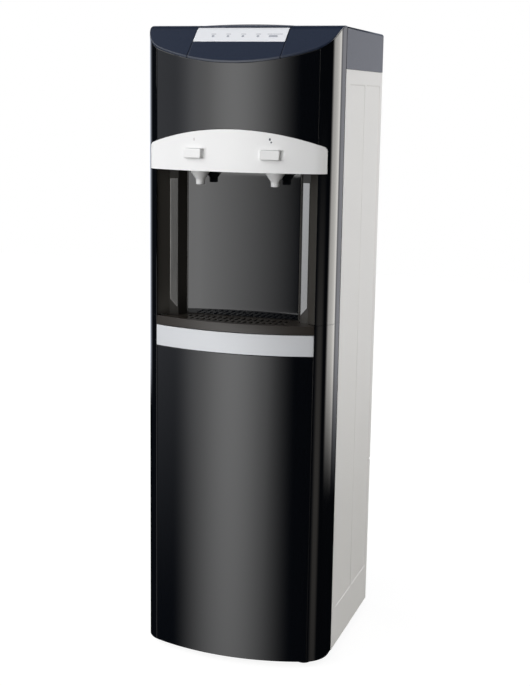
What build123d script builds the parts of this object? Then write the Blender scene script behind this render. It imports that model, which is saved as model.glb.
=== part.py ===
from build123d import *
import math
import os

os.makedirs("parts", exist_ok=True)

# Everything is in millimetres: X to the right, the front faces -Y, Z up, the floor at Z = 0.
# The origin is on the floor, under the middle of the width and of the depth.

# Cabinet
body_width = 310.0
cabinet_depth = 326.7  # middle of the curved front to the rear edge
side_height = 939.5  # side panels, from the base to the cap
cap_height = 63.4  # cap, from the side panels to its ridge
foot_stand = 8.0
front_radius = 361.3  # plan radius of the bowed front
corner_radius = 46.0  # plan radius of the two front corners
moulding_depth = 83.5  # front mouldings, from the middle of the front to their rear edge
seam_gap = 3.0  # groove between front mouldings and side panels
fit_gap = 0.3  # between pieces that are assembled face to face
skin_gap = 0.2  # behind the back plate of the recess
plastic_wall = 3.0
sheet_wall = 1.0
panel_wall = 2.5

# Cap
fascia_slope = 42.3  # degrees from level
fascia_wall = 2.6
fascia_lip = 8.8  # front edge of the slope, above the side panels
ridge_radius = 40.0
cap_crown = 2.6
crown_width = 170.0
cap_edge_radius = 4.0
insert_width = 147.4  # control panel insert
label_margin = 0.5  # between the label's edge and the insert's edge
label_front = 32.0  # front edge of the label, behind the middle of the front
label_depth = 23.9  # seen from above
label_wall = 0.8
lens_size = 4.2
lens_wide = 14.0  # the last lens is a long one
lens_pitch = 24.0
lens_count = 5
lens_start = 29.3  # first lens, from the label's left edge
lens_front = 8.2  # lenses behind the label's front edge, seen from above
lens_stand = 0.4

# Front openings and bands, heights above the underside of the cabinet
window_width = 262.0  # gloss panels, recess and trim band
door_height = 552.7
trim_low = 504.5
trim_high = 537.2
recess_top = 783.8
tap_cover_width = 285.2
tap_cover_rise = 63.7  # from its lower edge to the crest of the arch
tap_arch_radius = 425.0
tap_corner_radius = 8.0
tap_cover_stand = 1.5  # stands proud of the front
tap_cover_inner = 1.6  # reaches this far into the front

# Buttons and nozzles
tap_spacing = 122.0  # between the two taps
button_width = 30.5
button_height = 14.5
button_corner = 2.5
button_rounding = 1.2
button_well = 6.8  # open end of the slot, at the right of the button
button_stand = 5.0
button_skirt = 1.2  # reach of the button's skirt past the slot, behind the cover
button_skirt_setback = 2.8
button_skirt_wall = 2.0
button_root = 8.0  # button's body behind the front surface
button_mid = 26.7  # above the lower edge of the tap cover
button_clearance = 0.4
button_stem = 5.0
button_stem_radius = 3.0
nozzle_setback = 29.0  # nozzle axis behind the front surface at the tap
nozzle_top = 14.5
nozzle_tip = 7.0
nozzle_bore = 4.0
nozzle_spigot = 6.5
nozzle_drop = 22.0
spring_radius = 4.4
spring_wire = 0.45
spring_turns = 3
switch_back = 17.4  # face of the switches behind the front surface
switch_depth = 5.0

# Recess, plan sizes of the right half
mouth_depth = 29.5  # behind the middle of the front
throat_half = 115.0
pocket_half = 102.0
plate_half = 94.0
throat_depth = 42.0  # behind the middle of the front
plate_depth = 64.0  # the flat back plate behind the middle of the front
plate_wall = 2.0
strip_width = 12.0
strip_wall = 1.2
strip_cant = 4.2  # the steps for the strips turn inwards by this much
strip_slant = 13.0  # rise of each strip's slanted foot
strip_low = 12.0  # above the tray
strip_high = 15.0  # under the top of the recess
liner_wall = 2.5

# Drip tray and grille
tray_height = 13.6
tray_wall = 2.0
tray_gap = 0.6
grille_wall = 2.4
grille_slot = 4.0
grille_pitch = 10.0

# Lower door
door_gap = 2.0  # under the door
hinge_inset = 5.0  # hinge axis from the outer side and from the rear edge of the door
hinge_pin_radius = 2.0
hinge_clearance = 0.05
hinge_arm_radius = 4.2
hinge_arm_height = 12.0
liner_rib_depth = 9.0
liner_rib_count = 5
backing_wall = 2.2  # web behind the gloss panels
backing_gap = 0.1  # between the door's pillars and its web
catch_height = 36.0
catch_foot = 292.0  # above the underside
catch_inset = 21.0  # middle of the catch from the outer side

# Base
foot_radius = 14.0
foot_inset_x = 37.0  # feet from the outer sides
foot_inset_front = 52.0
foot_inset_rear = 28.0
foot_stem_radius = 2.9
pan_wall = 1.2
pan_rim = 22.0
pan_front_inset = 20.0
hinge_tab_wall = 1.7

# Side panels
emboss_depth = 0.8
emboss_draft = 62.0  # lean of the bays' walls, in degrees
emboss_corner = 6.0
emboss_ridge = 6.0
emboss_front_border = 22.0
emboss_bay = 126.0  # middle of the ridge behind the panel's front edge
emboss_rear_border = 14.0
emboss_low_border = 66.0
emboss_top_border = 22.0
panel_notch = 265.0  # above the underside
flange_width = 14.0

# Rear
rear_panel_inset = 28.0
port_height = 292.0  # water and mains connections, above the underside
grille_height = 264.0
vent_pitch = 11.0
vent_height = 4.5
vent_half = 38.0
condenser_tube_radius = 2.4
condenser_wire_radius = 0.8
condenser_runs = 13
condenser_pitch = 42.0
condenser_inset = 43.0  # ends of its runs from the outer sides
condenser_foot = 337.0
condenser_stand = 15.0  # tube axis behind the rear panel
discharge_run = 15.0  # beside the condenser
port_inset = 55.0  # water inlet and mains inlet from the outer sides
drain_spread = (38.0, 70.0)  # from the water inlet
switch_spread = (64.0, 38.0)  # from the mains inlet
wire_count = 22
mains_half_x = 13.6
mains_half_z = 10.0
switch_half_x = 6.5
switch_half_z = 9.5

# Inside
shelf_height = 563.0
shelf_gap = 26.3  # recess liner to the tank shelf
filter_radius = 27.0
filter_pitch = 64.0
filter_setback = 81.0  # filter axis behind the middle of the front
filter_room = 38.2  # filter axis to the partition
filter_foot = 102.0
filter_body = 320.0
filter_neck_radius = 12.0
filter_neck_height = 22.0
neck_clearance = 0.08
port_offset = 9.0  # ports of each filter head from its axis
tube_radius = 3.175
tube_bore = 2.0
tank_gap_front = 47.8  # cold tank's insulation to the recess liner
tank_gap_rear = 17.0
tank_gap_right = 14.0
tank_gap_middle = 13.8
tank_gap_left = 3.0
cold_tank_height = 240.0
cold_foam_wall = 22.0
cold_foam_side = 16.0  # beside the evaporator coil
coil_tube_radius = 3.0
coil_pitch = 11.0
coil_turns = 9
hot_tank_height = 180.0
heater_room = 12.0  # between the heater's two legs and the tank
heater_radius = 4.0
hot_foam_wall = 14.0
tank_wall = 1.2
compressor_radius = 62.0
compressor_height = 160.0
compressor_inset = 97.5  # compressor axis from the rear edge
compressor_shift = 30.0  # right of the middle
pump_inset = 51.0  # booster pump from the left side
transformer_inset = 50.0
housing_clip_foot = 40.0
housing_clip_drop = 40.8  # middle clips, under the top of the recess
housing_clip_head = 56.5  # upper clips, under the cap
grommet_height = 12.0
rocker_tilt = 10.0
inlet_bore_radius = 3.2
inlet_shank = 6.2
inlet_bore_depth = 14.0
drain_radius = 8.0

# Places worked out from the sizes
half_width = body_width / 2
half_window = window_width / 2
half_insert = insert_width / 2
label_span = insert_width - 2 * label_margin
tap_x = tap_spacing / 2
tap_lean = math.asin(tap_x / front_radius)
button_out = (tap_cover_stand + button_stand) * math.cos(tap_lean) + button_width / 2 * math.sin(tap_lean)
button_reach = button_out - front_radius * (1 - math.cos(tap_lean))
front_y = -(cabinet_depth + button_reach) / 2 + button_reach
rear_y = front_y + cabinet_depth
base_z = foot_stand
cap_z = base_z + side_height
ridge_z = cap_z + cap_height
arc_y = front_y + front_radius
corner_x = half_width - corner_radius
corner_y = arc_y - math.sqrt((front_radius - corner_radius) ** 2 - corner_x ** 2)
moulding_y = front_y + moulding_depth - seam_gap / 2
panel_y = moulding_y + seam_gap
door_top = base_z + door_height
trim_low_z = base_z + trim_low
trim_high_z = base_z + trim_high
recess_top_z = base_z + recess_top
ridge_y = front_y + (cap_height - fascia_lip) / math.tan(math.radians(fascia_slope))
rear_panel_y = rear_y - rear_panel_inset
tap_front_y = arc_y - front_radius * math.cos(tap_lean)
nozzle_y = tap_front_y + nozzle_setback
button_z = recess_top_z + button_mid
throat_y = front_y + throat_depth
plate_y = front_y + plate_depth
filter_y = front_y + filter_setback
filter_xs = [(i - 1.5) * filter_pitch for i in range(4)]
filter_low = base_z + filter_foot
head_low = filter_low + filter_body + 0.8
head_top = head_low + 40.0
partition_y = filter_y + filter_room
hinge_x = -half_width + hinge_inset
hinge_y = moulding_y - hinge_inset
shelf_z = base_z + shelf_height
shelf_top = shelf_z + sheet_wall
frame_half = half_width - sheet_wall - emboss_depth - 1.2
foot_xs = [-half_width + foot_inset_x, half_width - foot_inset_x]
foot_ys = [front_y + foot_inset_front, rear_y - foot_inset_rear]
pan_top = base_z + pan_wall
emboss_front = panel_y + emboss_front_border
emboss_mid = panel_y + emboss_bay
emboss_back = rear_y - emboss_rear_border
emboss_low = base_z + emboss_low_border
emboss_high = cap_z - emboss_top_border
panel_notch_z = base_z + panel_notch
liner_low = trim_high_z - 1.7
tray_low = liner_low + liner_wall + fit_gap
door_low = base_z + door_gap
hinge_arm_low = door_low + 0.3
backing_face = panel_wall + fit_gap
door_web = plastic_wall + backing_gap
catch_y = moulding_y - 0.5
catch_x = half_width - catch_inset
catch_low = base_z + catch_foot
condenser_half = half_width - condenser_inset
condenser_y = rear_panel_y + condenser_stand
condenser_low = base_z + condenser_foot

# Places inside, used by several pieces
compressor_x = compressor_shift
compressor_y = rear_y - compressor_inset
compressor_low = pan_top + grommet_height
compressor_feet = [(compressor_x + dx, compressor_y + dy) for dx in (-70, 70) for dy in (-46, 46)]
port_z = base_z + port_height
inlet_x = -half_width + port_inset
drain_xs = [inlet_x + spread for spread in drain_spread]
mains_x = half_width - port_inset
switch_xs = [mains_x - spread for spread in switch_spread]
discharge_x = condenser_half + discharge_run
pump_x = -half_width + pump_inset
transformer_x = -half_width + transformer_inset
liner_back = plate_y + plate_wall + skin_gap + liner_wall
cold_low = shelf_top + cold_foam_wall
lid_low = cold_low + cold_tank_height
lid_top = lid_low + 6.0
foam_radius = (rear_panel_y - liner_back - tank_gap_front - tank_gap_rear) / 2
foam_bore = foam_radius - cold_foam_side
cold_tank_radius = foam_bore - 2 * coil_tube_radius - 0.6
cold_x = frame_half - foam_radius - tank_gap_right
cold_y = rear_panel_y - foam_radius - tank_gap_rear
hot_low = shelf_top + hot_foam_wall
hot_top = hot_low + hot_tank_height + hot_foam_wall
hot_foam_radius = frame_half - foam_radius - (tank_gap_right + tank_gap_middle + tank_gap_left) / 2
hot_tank_radius = hot_foam_radius - hot_foam_wall
heater_half = (hot_tank_radius - heater_room) / 2
hot_x = -frame_half + hot_foam_radius + tank_gap_left
hot_y = cold_y - 8
feed_x = frame_half - 14
feed_y = partition_y + 18
feed_z = head_top + 41.2
supply_z = head_top + 53.2
valve_low = recess_top_z + liner_wall + 2.5
valve_z = valve_low + 18.2


def block(x0, x1, y0, y1, z0, z1):
    return Pos((x0 + x1) / 2, (y0 + y1) / 2, (z0 + z1) / 2) * Box(x1 - x0, y1 - y0, z1 - z0)


def rod(x, y, z0, z1, radius):
    return Pos(x, y, (z0 + z1) / 2) * Cylinder(radius, z1 - z0)


def rod_y(x, z, y0, y1, radius):
    return Pos(x, (y0 + y1) / 2, z) * Rot(90, 0, 0) * Cylinder(radius, y1 - y0)


def rod_x(y, z, x0, x1, radius):
    return Pos((x0 + x1) / 2, y, z) * Rot(0, 90, 0) * Cylinder(radius, x1 - x0)


def front_y_at(x, inset=0.0):
    return arc_y - math.sqrt((front_radius - inset) ** 2 - x ** 2)


def plan_face(inset, back_y):
    # The plan of the cabinet, drawn in from its outline: a bowed front between two round corners.
    radius = front_radius - inset
    corner = corner_radius - inset
    side = half_width - inset
    lean = math.atan2(corner_x, arc_y - corner_y)
    middle = (lean + math.pi / 2) / 2
    touch = (radius * math.sin(lean), arc_y - radius * math.cos(lean))
    bend = (corner_x + corner * math.sin(middle), corner_y - corner * math.cos(middle))
    edges = [
        Line((-side, back_y), (-side, corner_y)),
        ThreePointArc((-side, corner_y), (-bend[0], bend[1]), (-touch[0], touch[1])),
        ThreePointArc((-touch[0], touch[1]), (0, arc_y - radius), touch),
        ThreePointArc(touch, bend, (side, corner_y)),
        Line((side, corner_y), (side, back_y)),
        Line((side, back_y), (-side, back_y)),
    ]
    return make_face(edges)


def slab(inset, back_y, low, high):
    return extrude(Pos(0, 0, low) * plan_face(inset, back_y), amount=high - low, dir=(0, 0, 1))


def skin(outer, inner, back_y, low, high):
    return slab(outer, back_y, low, high) - slab(inner, back_y + 5, low - 1, high + 1)


def under_cap(drop):
    # All that lies under the cap's profile, lowered square to it: slope, round ridge, level top.
    slope = math.radians(fascia_slope)
    radius = ridge_radius - drop
    top = ridge_z - drop
    apex = ridge_y + drop * math.tan(slope / 2)
    reach = radius * math.tan(slope / 2)
    front = front_y - 30
    low = base_z - 10
    front_top = top - (apex - front) * math.tan(slope)
    start = (0, apex - reach * math.cos(slope), top - reach * math.sin(slope))
    end = (0, apex + reach, top)
    bend = (0, end[1] - radius * math.sin(slope / 2), top - radius * (1 - math.cos(slope / 2)))
    edges = [
        Line((0, front, low), (0, front, front_top)),
        Line((0, front, front_top), start),
        ThreePointArc(start, bend, end),
        Line(end, (0, rear_y + 30, top)),
        Line((0, rear_y + 30, top), (0, rear_y + 30, low)),
        Line((0, rear_y + 30, low), (0, front, low)),
    ]
    return extrude(make_face(edges), amount=half_width + 20, dir=(1, 0, 0), both=True)


def tube(points, radii, outer, inner=0.0):
    # A pipe along straight runs joined by tangent arcs.
    path = FilletPolyline(*points, radius=radii)
    start = Plane(origin=path @ 0, z_dir=path % 0)
    section = start * Circle(outer)
    if inner > 0:
        section = section - start * Circle(inner)
    return sweep(section, path=path)


def slope_plane(y):
    # A plane on the fascia's slope: its X runs to the right, its Y up the slope.
    slope = math.radians(fascia_slope)
    z = ridge_z - (ridge_y - y) * math.tan(slope)
    return Plane(origin=(0, y, z), x_dir=(1, 0, 0), z_dir=(0, -math.sin(slope), math.cos(slope)))


def tap_plane(side, z):
    # A plane on the front surface at one tap: its X runs along the front, its Z points out.
    along = (math.cos(tap_lean), side * math.sin(tap_lean), 0)
    out = (side * math.sin(tap_lean), -math.cos(tap_lean), 0)
    return Plane(origin=(side * tap_x, tap_front_y, z), x_dir=along, z_dir=out)


def tap_band(grow):
    # The arched outline of the tap cover, as a prism through the front.
    half = tap_cover_width / 2 + grow
    low = recess_top_z - grow
    high = recess_top_z + tap_cover_rise + grow
    radius = tap_arch_radius + grow
    box = block(-half, half, front_y - 20, moulding_y, low, high)
    disc = Pos(0, (front_y - 20 + moulding_y) / 2, high - radius) * Rot(90, 0, 0)
    band = box & (disc * Cylinder(radius, moulding_y - front_y + 20))
    return fillet(band.edges().filter_by(Axis.Y).group_by(Axis.Z)[-1], tap_corner_radius + grow)


def button_slot(side, grow):
    # The slot for a button and for the well at its right end, as a prism through the front.
    width = button_width + button_well + 2 * grow
    height = button_height + 2 * grow
    outline = Pos(button_well / 2, 0) * RectangleRounded(width, height, button_corner + grow)
    return extrude(tap_plane(side, button_z) * outline, amount=30, both=True)


def mirrored(shape):
    return shape.mirror(Plane.YZ)


def pair(shape):
    return Compound(children=[shape, mirrored(shape)])


def group(shapes):
    return Compound(children=list(shapes))


def save(shape, node):
    export_step(shape, "parts/" + node + ".step")


# Base and panels

def base_pan():
    inner = half_width - sheet_wall - fit_gap
    rear = rear_y - 6
    wall = pan_wall
    pan = block(-inner, inner, panel_y, rear, base_z, base_z + pan_rim)
    pan -= block(-inner + wall, inner - wall, panel_y + wall, rear - wall, pan_top, base_z + pan_rim + 1)
    nose = slab(pan_front_inset, panel_y + 1, base_z, pan_top)
    tab = block(hinge_x - 3.5, -half_width + 40, hinge_y - 4, panel_y + 1, base_z, base_z + hinge_tab_wall)
    pan = pan + nose + tab
    pan -= rod(hinge_x, hinge_y, base_z - 1, base_z + 5, hinge_pin_radius)
    for x in foot_xs:
        for y in foot_ys:
            pan -= rod(x, y, base_z - 1, base_z + 3, foot_stem_radius + 0.1)
    for x, y in compressor_feet:
        pan -= rod(x, y, base_z - 1, base_z + 3, 3.0)
    return pan


def rubber_feet():
    feet = []
    for x in foot_xs:
        for y in foot_ys:
            foot = Pos(x, y, foot_stand / 2) * Cone(foot_radius - 2, foot_radius, foot_stand)
            stem = rod(x, y, foot_stand - 1, pan_top, foot_stem_radius)
            head = rod(x, y, pan_top, pan_top + 2.2, foot_stem_radius + 1.7)
            feet.append(foot + stem + head)
    return group(feet)


def right_side_panel():
    inner = half_width - sheet_wall
    panel = block(inner, half_width, panel_y, rear_y, base_z, cap_z)
    bays = [(emboss_front, emboss_mid - emboss_ridge / 2), (emboss_mid + emboss_ridge / 2, emboss_back)]
    face = half_width - emboss_depth
    for y0, y1 in bays:
        middle = (half_width, (y0 + y1) / 2, (emboss_low + emboss_high) / 2)
        inward = Plane(origin=middle, x_dir=(0, 1, 0), z_dir=(-1, 0, 0))
        bay = inward * RectangleRounded(y1 - y0, emboss_high - emboss_low, emboss_corner)
        panel -= extrude(bay, amount=emboss_depth, taper=emboss_draft)
        panel += block(face - sheet_wall, face, y0 - 1, y1 + 1, emboss_low - 1, emboss_high + 1)
    panel += block(half_width - flange_width, inner + 0.1, panel_y, panel_y + sheet_wall, base_z + 30, cap_z)
    panel += block(half_width - flange_width, inner + 0.1, rear_y - sheet_wall, rear_y, base_z, cap_z)
    panel -= block(inner - 1, half_width + 1, rear_y - 8, rear_y + 1, panel_notch_z - 2, panel_notch_z + 2)
    return panel


def rear_panel():
    inner = half_width - sheet_wall - emboss_depth - fit_gap
    low = base_z + grille_height + fit_gap
    panel = block(-inner, inner, rear_panel_y, rear_panel_y + sheet_wall, low, cap_z - fit_gap)
    for x in (-inner + 0.5, inner - 0.5):
        panel += block(x - 0.5, x + 0.5, rear_panel_y, rear_y - sheet_wall - fit_gap, low, cap_z - fit_gap)
    panel += block(-inner, inner, rear_panel_y, rear_y - sheet_wall - fit_gap, low, low + sheet_wall)
    holes = [(inlet_x, port_z, inlet_shank + 0.1), (discharge_x, condenser_low, 4.0)]
    holes += [(x, port_z, drain_radius + 0.3) for x in drain_xs]
    for x, z, radius in holes:
        panel -= rod_y(x, z, rear_panel_y - 1, rear_panel_y + 3, radius)
    cutouts = [(x, switch_half_x, switch_half_z) for x in switch_xs]
    cutouts.append((mains_x, mains_half_x, mains_half_z))
    for x, half_x, half_z in cutouts:
        panel -= block(x - half_x - 0.2, x + half_x + 0.2, rear_panel_y - 1, rear_panel_y + 3,
                       port_z - half_z - 0.2, port_z + half_z + 0.2)
    return panel


def rear_grille():
    half = half_width - flange_width - fit_gap
    high = base_z + grille_height
    plate = block(-half, half, rear_y - 5.5, rear_y - 3, base_z + 1, high)
    rim = block(-half, half, rear_y - 12, rear_y - 5, base_z + pan_rim + 1, high)
    rim -= block(-half + 3, half - 3, rear_y - 13, rear_y - 4, base_z + pan_rim + 4, high - 3)
    plate += rim
    count = int((grille_height - pan_rim - 30) / vent_pitch)
    for i in range(count):
        z = base_z + pan_rim + 12 + i * vent_pitch
        for x in (-90, 0, 90):
            plate -= block(x - vent_half, x + vent_half, rear_y - 13, rear_y + 1, z, z + vent_height)
    return plate


# Condenser on the back

def condenser():
    points = []
    for run in range(condenser_runs):
        z = condenser_low + run * condenser_pitch
        side = 1 if run % 2 == 0 else -1
        points.append((side * condenser_half, condenser_y, z))
        points.append((-side * condenser_half, condenser_y, z))
    bend = condenser_pitch / 2 - 0.05
    pipe = tube(points, bend, condenser_tube_radius)
    wires = []
    reach = condenser_tube_radius + condenser_wire_radius
    low = condenser_low - 12
    high = condenser_low + (condenser_runs - 1) * condenser_pitch + 12
    span = 2 * (condenser_half - condenser_pitch / 2 - 6)
    for i in range(wire_count):
        x = -span / 2 + span * i / (wire_count - 1)
        wires.append(rod(x, condenser_y + reach + 0.02, low, high, condenser_wire_radius))
    return group([pipe] + wires)


def condenser_clips():
    clips = []
    for x in (-condenser_half + 40, condenser_half - 40):
        for run in (1, condenser_runs - 2):
            z = condenser_low + run * condenser_pitch
            arm = block(x - 6, x + 6, rear_panel_y + sheet_wall, condenser_y, z - 7, z + 7)
            arm -= rod_x(condenser_y, z, x - 7, x + 7, condenser_tube_radius + 0.02)
            clips.append(arm)
    return group(clips)


# Cap

def top_cover():
    cover = block(-half_width, half_width, moulding_y + seam_gap, rear_y, cap_z + fit_gap, ridge_z)
    rims = cover.edges().group_by(Axis.Z)[-1]
    back_rims = [e for e in rims if e.center().Y > moulding_y + seam_gap + 1]
    cover = fillet(back_rims, cap_edge_radius)
    inside = block(-half_width + panel_wall, half_width - panel_wall, panel_y - 1, rear_y - panel_wall,
                   cap_z - 1, ridge_z - panel_wall)
    cover -= inside
    crown_low = ridge_z - 0.5
    edges = [
        Line((-crown_width / 2, panel_y, crown_low), (-crown_width / 2, panel_y, ridge_z)),
        ThreePointArc((-crown_width / 2, panel_y, ridge_z), (0, panel_y, ridge_z + cap_crown),
                      (crown_width / 2, panel_y, ridge_z)),
        Line((crown_width / 2, panel_y, ridge_z), (crown_width / 2, panel_y, crown_low)),
        Line((crown_width / 2, panel_y, crown_low), (-crown_width / 2, panel_y, crown_low)),
    ]
    crown = extrude(make_face(edges), amount=rear_y - panel_y - 30, dir=(0, 1, 0))
    return cover + crown


def fascia_blank():
    outline = slab(0, moulding_y + seam_gap - fit_gap, cap_z - 20, ridge_z + 5)
    return outline & (under_cap(0) - under_cap(fascia_wall))


def control_fascia():
    blank = fascia_blank()
    gap = half_insert + 0.4
    blank -= block(-gap, gap, front_y - 10, moulding_y - 8, cap_z - 30, ridge_z + 10)
    return blank


def control_panel():
    blank = fascia_blank()
    return blank & block(-half_insert, half_insert, front_y - 10, moulding_y - 8.4, cap_z - 30, ridge_z + 10)


def hinge_arm(low):
    high = low + hinge_arm_height
    arm = rod(hinge_x, hinge_y, low, high, hinge_arm_radius)
    front = hinge_y - hinge_arm_radius
    return arm + block(-half_width + 1, hinge_x, front, hinge_y + hinge_arm_radius, low, high)


def front_housing():
    low = door_top + fit_gap
    top = under_cap(fascia_wall + 0.1)
    shell = skin(0, plastic_wall, moulding_y, low, ridge_z)
    shell -= block(-half_window, half_window, front_y - 10, moulding_y + 10, low - 1, ridge_z + 10)
    backing = skin(backing_face, backing_face + backing_wall, moulding_y, recess_top_z + 3, ridge_z)
    backing &= block(-half_window - 4, half_window + 4, front_y - 10, corner_y, low, ridge_z)
    housing = (shell + backing) & top
    housing -= skin(-5, tap_cover_inner + fit_gap, moulding_y, low, ridge_z) & tap_band(fit_gap)
    clips = (low + housing_clip_foot, recess_top_z - housing_clip_drop, cap_z - housing_clip_head)
    for z in clips:
        for side in (-1, 1):
            x0, x1 = sorted((side * (half_width - flange_width), side * (half_width - 2.5)))
            housing += block(x0, x1, moulding_y - 3, panel_y, z, z + 20)
    housing += hinge_arm(low)
    housing -= rod(hinge_x, hinge_y, low - 1, low + 9, hinge_pin_radius)
    for side in (-1, 1):
        housing -= button_slot(side, button_skirt + 2 * button_clearance)
    return housing


def upper_front_panel():
    inner = half_window - 0.5
    panel = skin(0, panel_wall, moulding_y, recess_top_z, ridge_z)
    panel &= block(-inner, inner, front_y - 10, corner_y, recess_top_z, ridge_z)
    panel &= under_cap(fascia_wall + 0.1)
    return panel - tap_band(fit_gap)


def tap_cover():
    cover = skin(-tap_cover_stand, tap_cover_inner, moulding_y, recess_top_z - 1, cap_z) & tap_band(0)
    for side in (-1, 1):
        cover -= button_slot(side, button_clearance)
    return cover


def push_button(side):
    # A key with a skirt behind the cover that holds it in and closes the well beside it.
    plane = tap_plane(side, button_z)
    outline = plane * RectangleRounded(button_width, button_height, button_corner)
    body = extrude(outline, amount=tap_cover_stand + button_stand)
    body = fillet(body.faces().sort_by(Axis(plane.origin, plane.z_dir))[-1].edges(), button_rounding)
    body += extrude(outline, amount=-button_root)
    layer = plane.offset(-button_skirt_setback) * Rectangle(2 * button_width, 2 * button_width)
    body += button_slot(side, button_skirt) & extrude(layer, amount=-button_skirt_wall)
    body += extrude(plane.offset(-button_root) * Circle(button_stem_radius), amount=-button_stem)
    return body


def helix_gap(label, radius, pitch, turns, wire):
    # Prints the least gap between neighbouring turns, measured on points along the coil.
    steps = 360
    points = []
    for i in range(int(turns * steps) + 1):
        turn = 2 * math.pi * i / steps
        points.append(Vector(radius * math.cos(turn), radius * math.sin(turn), pitch * i / steps))
    near = [(points[0] - other).length for other in points[steps // 2:]]
    print(label, "least gap to itself", round(min(near) - 2 * wire, 3))


def button_springs():
    # Each coil stands round the button's stem, between the button and its switch.
    springs = []
    length = switch_back - button_root - 2 * spring_wire - 0.2
    helix_gap("button spring", spring_radius, length / spring_turns, spring_turns, spring_wire)
    for side in (-1, 1):
        coil = Wire([Edge.make_helix(length / spring_turns, length, spring_radius)])
        section = Plane(origin=coil @ 0, z_dir=coil % 0) * Circle(spring_wire)
        spring = sweep(section, path=coil, is_frenet=True)
        plane = tap_plane(side, button_z).offset(-switch_back + spring_wire + 0.1)
        springs.append(plane * spring)
    return group(springs)


def button_switches():
    switches = []
    for side in (-1, 1):
        plane = tap_plane(side, button_z).offset(-switch_back)
        case = extrude(plane * Rectangle(24, 13), amount=-switch_depth)
        low = recess_top_z + liner_wall - button_z
        for x in (-10.6, 10.6):
            case += extrude(plane * Pos(x, low / 2) * Rectangle(2.8, -low), amount=-switch_depth)
        switches.append(case)
    return group(switches)


def nozzles():
    top = recess_top_z - 0.2
    points = [
        (nozzle_bore, 0),
        (nozzle_top, 0),
        (nozzle_top, -3),
        (nozzle_tip + 1.2, -12.5),
        (nozzle_tip, -14),
        (nozzle_tip - 0.4, -nozzle_drop),
        (nozzle_bore, -nozzle_drop),
    ]
    profile = make_face(Polyline(*[(r, 0, z) for r, z in points], close=True))
    body = Pos(tap_x, nozzle_y, top) * revolve(profile, Axis.Z)
    spigot = rod(tap_x, nozzle_y, top - 1, valve_low - 0.2, nozzle_spigot)
    body += spigot - rod(tap_x, nozzle_y, top - 2, top + 10, nozzle_bore)
    return pair(body)


def tap_valves():
    valves = []
    low = valve_low
    for side in (-1, 1):
        x = side * tap_x
        y = nozzle_y - 4
        body = block(x - 12, x + 12, y, y + 24, low, low + 34)
        body += rod_y(x, valve_z, y + 23, y + 32, 5.0)
        body += rod(x, y + 12, low + 33, low + 52, 10.0)
        body += block(x - 17, x + 17, y + 12, y + 22, recess_top_z + liner_wall, low + 2)
        body -= rod_y(x, valve_z, y + 26, y + 33, tube_radius)
        valves.append(body)
    return group(valves)


def recess_face(grow):
    # Plan of the recess: straight mouth, narrowing cheeks, a step for the trim strips, a flat back.
    right = [
        (half_window, front_y - 25),
        (half_window, front_y + mouth_depth),
        (throat_half, throat_y),
        (pocket_half, throat_y + strip_cant),
        (plate_half, plate_y),
    ]
    left = [(-x, y) for x, y in reversed(right)]
    face = make_face(Polyline(*right, *left, close=True))
    if grow == 0:
        return face
    return offset(face, amount=grow, kind=Kind.INTERSECTION)


def recess_prism(grow, low, high):
    return extrude(Pos(0, 0, low) * recess_face(grow), amount=high - low, dir=(0, 0, 1))


def recess_liner():
    low = liner_low
    high = recess_top_z + liner_wall
    skin_room = plate_wall + skin_gap
    bowl = recess_prism(liner_wall, low, high) - recess_prism(0, low + liner_wall, recess_top_z)
    behind = block(-plate_half + 1, plate_half - 1, plate_y - 2, plate_y + 30, low, high)
    rear_wall = recess_prism(liner_wall + skin_room, low, high) - recess_prism(skin_room, low - 1, high + 1)
    bowl += rear_wall & behind
    bowl -= (recess_prism(skin_room, low + liner_wall, recess_top_z) & behind)
    upper = slab(tap_cover_inner + fit_gap, rear_y, door_top + fit_gap, high + 1)
    lower = slab(pan_front_inset, rear_y, low - 1, door_top + 1)
    walls_in = slab(plastic_wall + fit_gap, rear_y, door_top, high + 1)
    middle = block(-half_window, half_window, front_y - 10, rear_y, low, high + 1)
    bowl &= lower + (upper & middle) + walls_in
    for side in (-1, 1):
        bowl -= rod(side * tap_x, nozzle_y, recess_top_z - 1, high + 1, nozzle_spigot + 0.2)
    return bowl


def recess_back_plate():
    low = tray_low + tray_height + 1.1
    high = recess_top_z - 0.5
    half = plate_half - 1.4
    plate = recess_prism(plate_wall, low, high) - recess_prism(0, low - 1, high + 1)
    return plate & block(-half, half, plate_y - 2, plate_y + 20, low, high)


def recess_trim_strips():
    half = strip_width / 2
    low = tray_low + tray_height + strip_low
    high = recess_top_z - strip_high
    run = throat_half - pocket_half
    middle = ((throat_half + pocket_half) / 2, throat_y + strip_cant / 2, 0)
    step = Plane(origin=middle, x_dir=(run, -strip_cant, 0), z_dir=(-strip_cant, -run, 0))
    outline = Polyline((-half, low), (half, low + strip_slant), (half, high), (-half, high), close=True)
    return pair(extrude(step * make_face(outline), amount=strip_wall))


def tray_prism(inset, grow, low, high):
    return recess_prism(-grow, low, high) & slab(inset, rear_y, low, high)


def drip_tray():
    high = tray_low + tray_height
    tray = tray_prism(0.4, tray_gap, tray_low, high)
    tray -= tray_prism(0.4 + tray_wall, tray_gap + tray_wall, high - grille_wall - 0.2, high + 1)
    tray -= tray_prism(2.4 + tray_wall, tray_gap + tray_wall + 2, tray_low + tray_wall, high + 1)
    return tray


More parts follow.
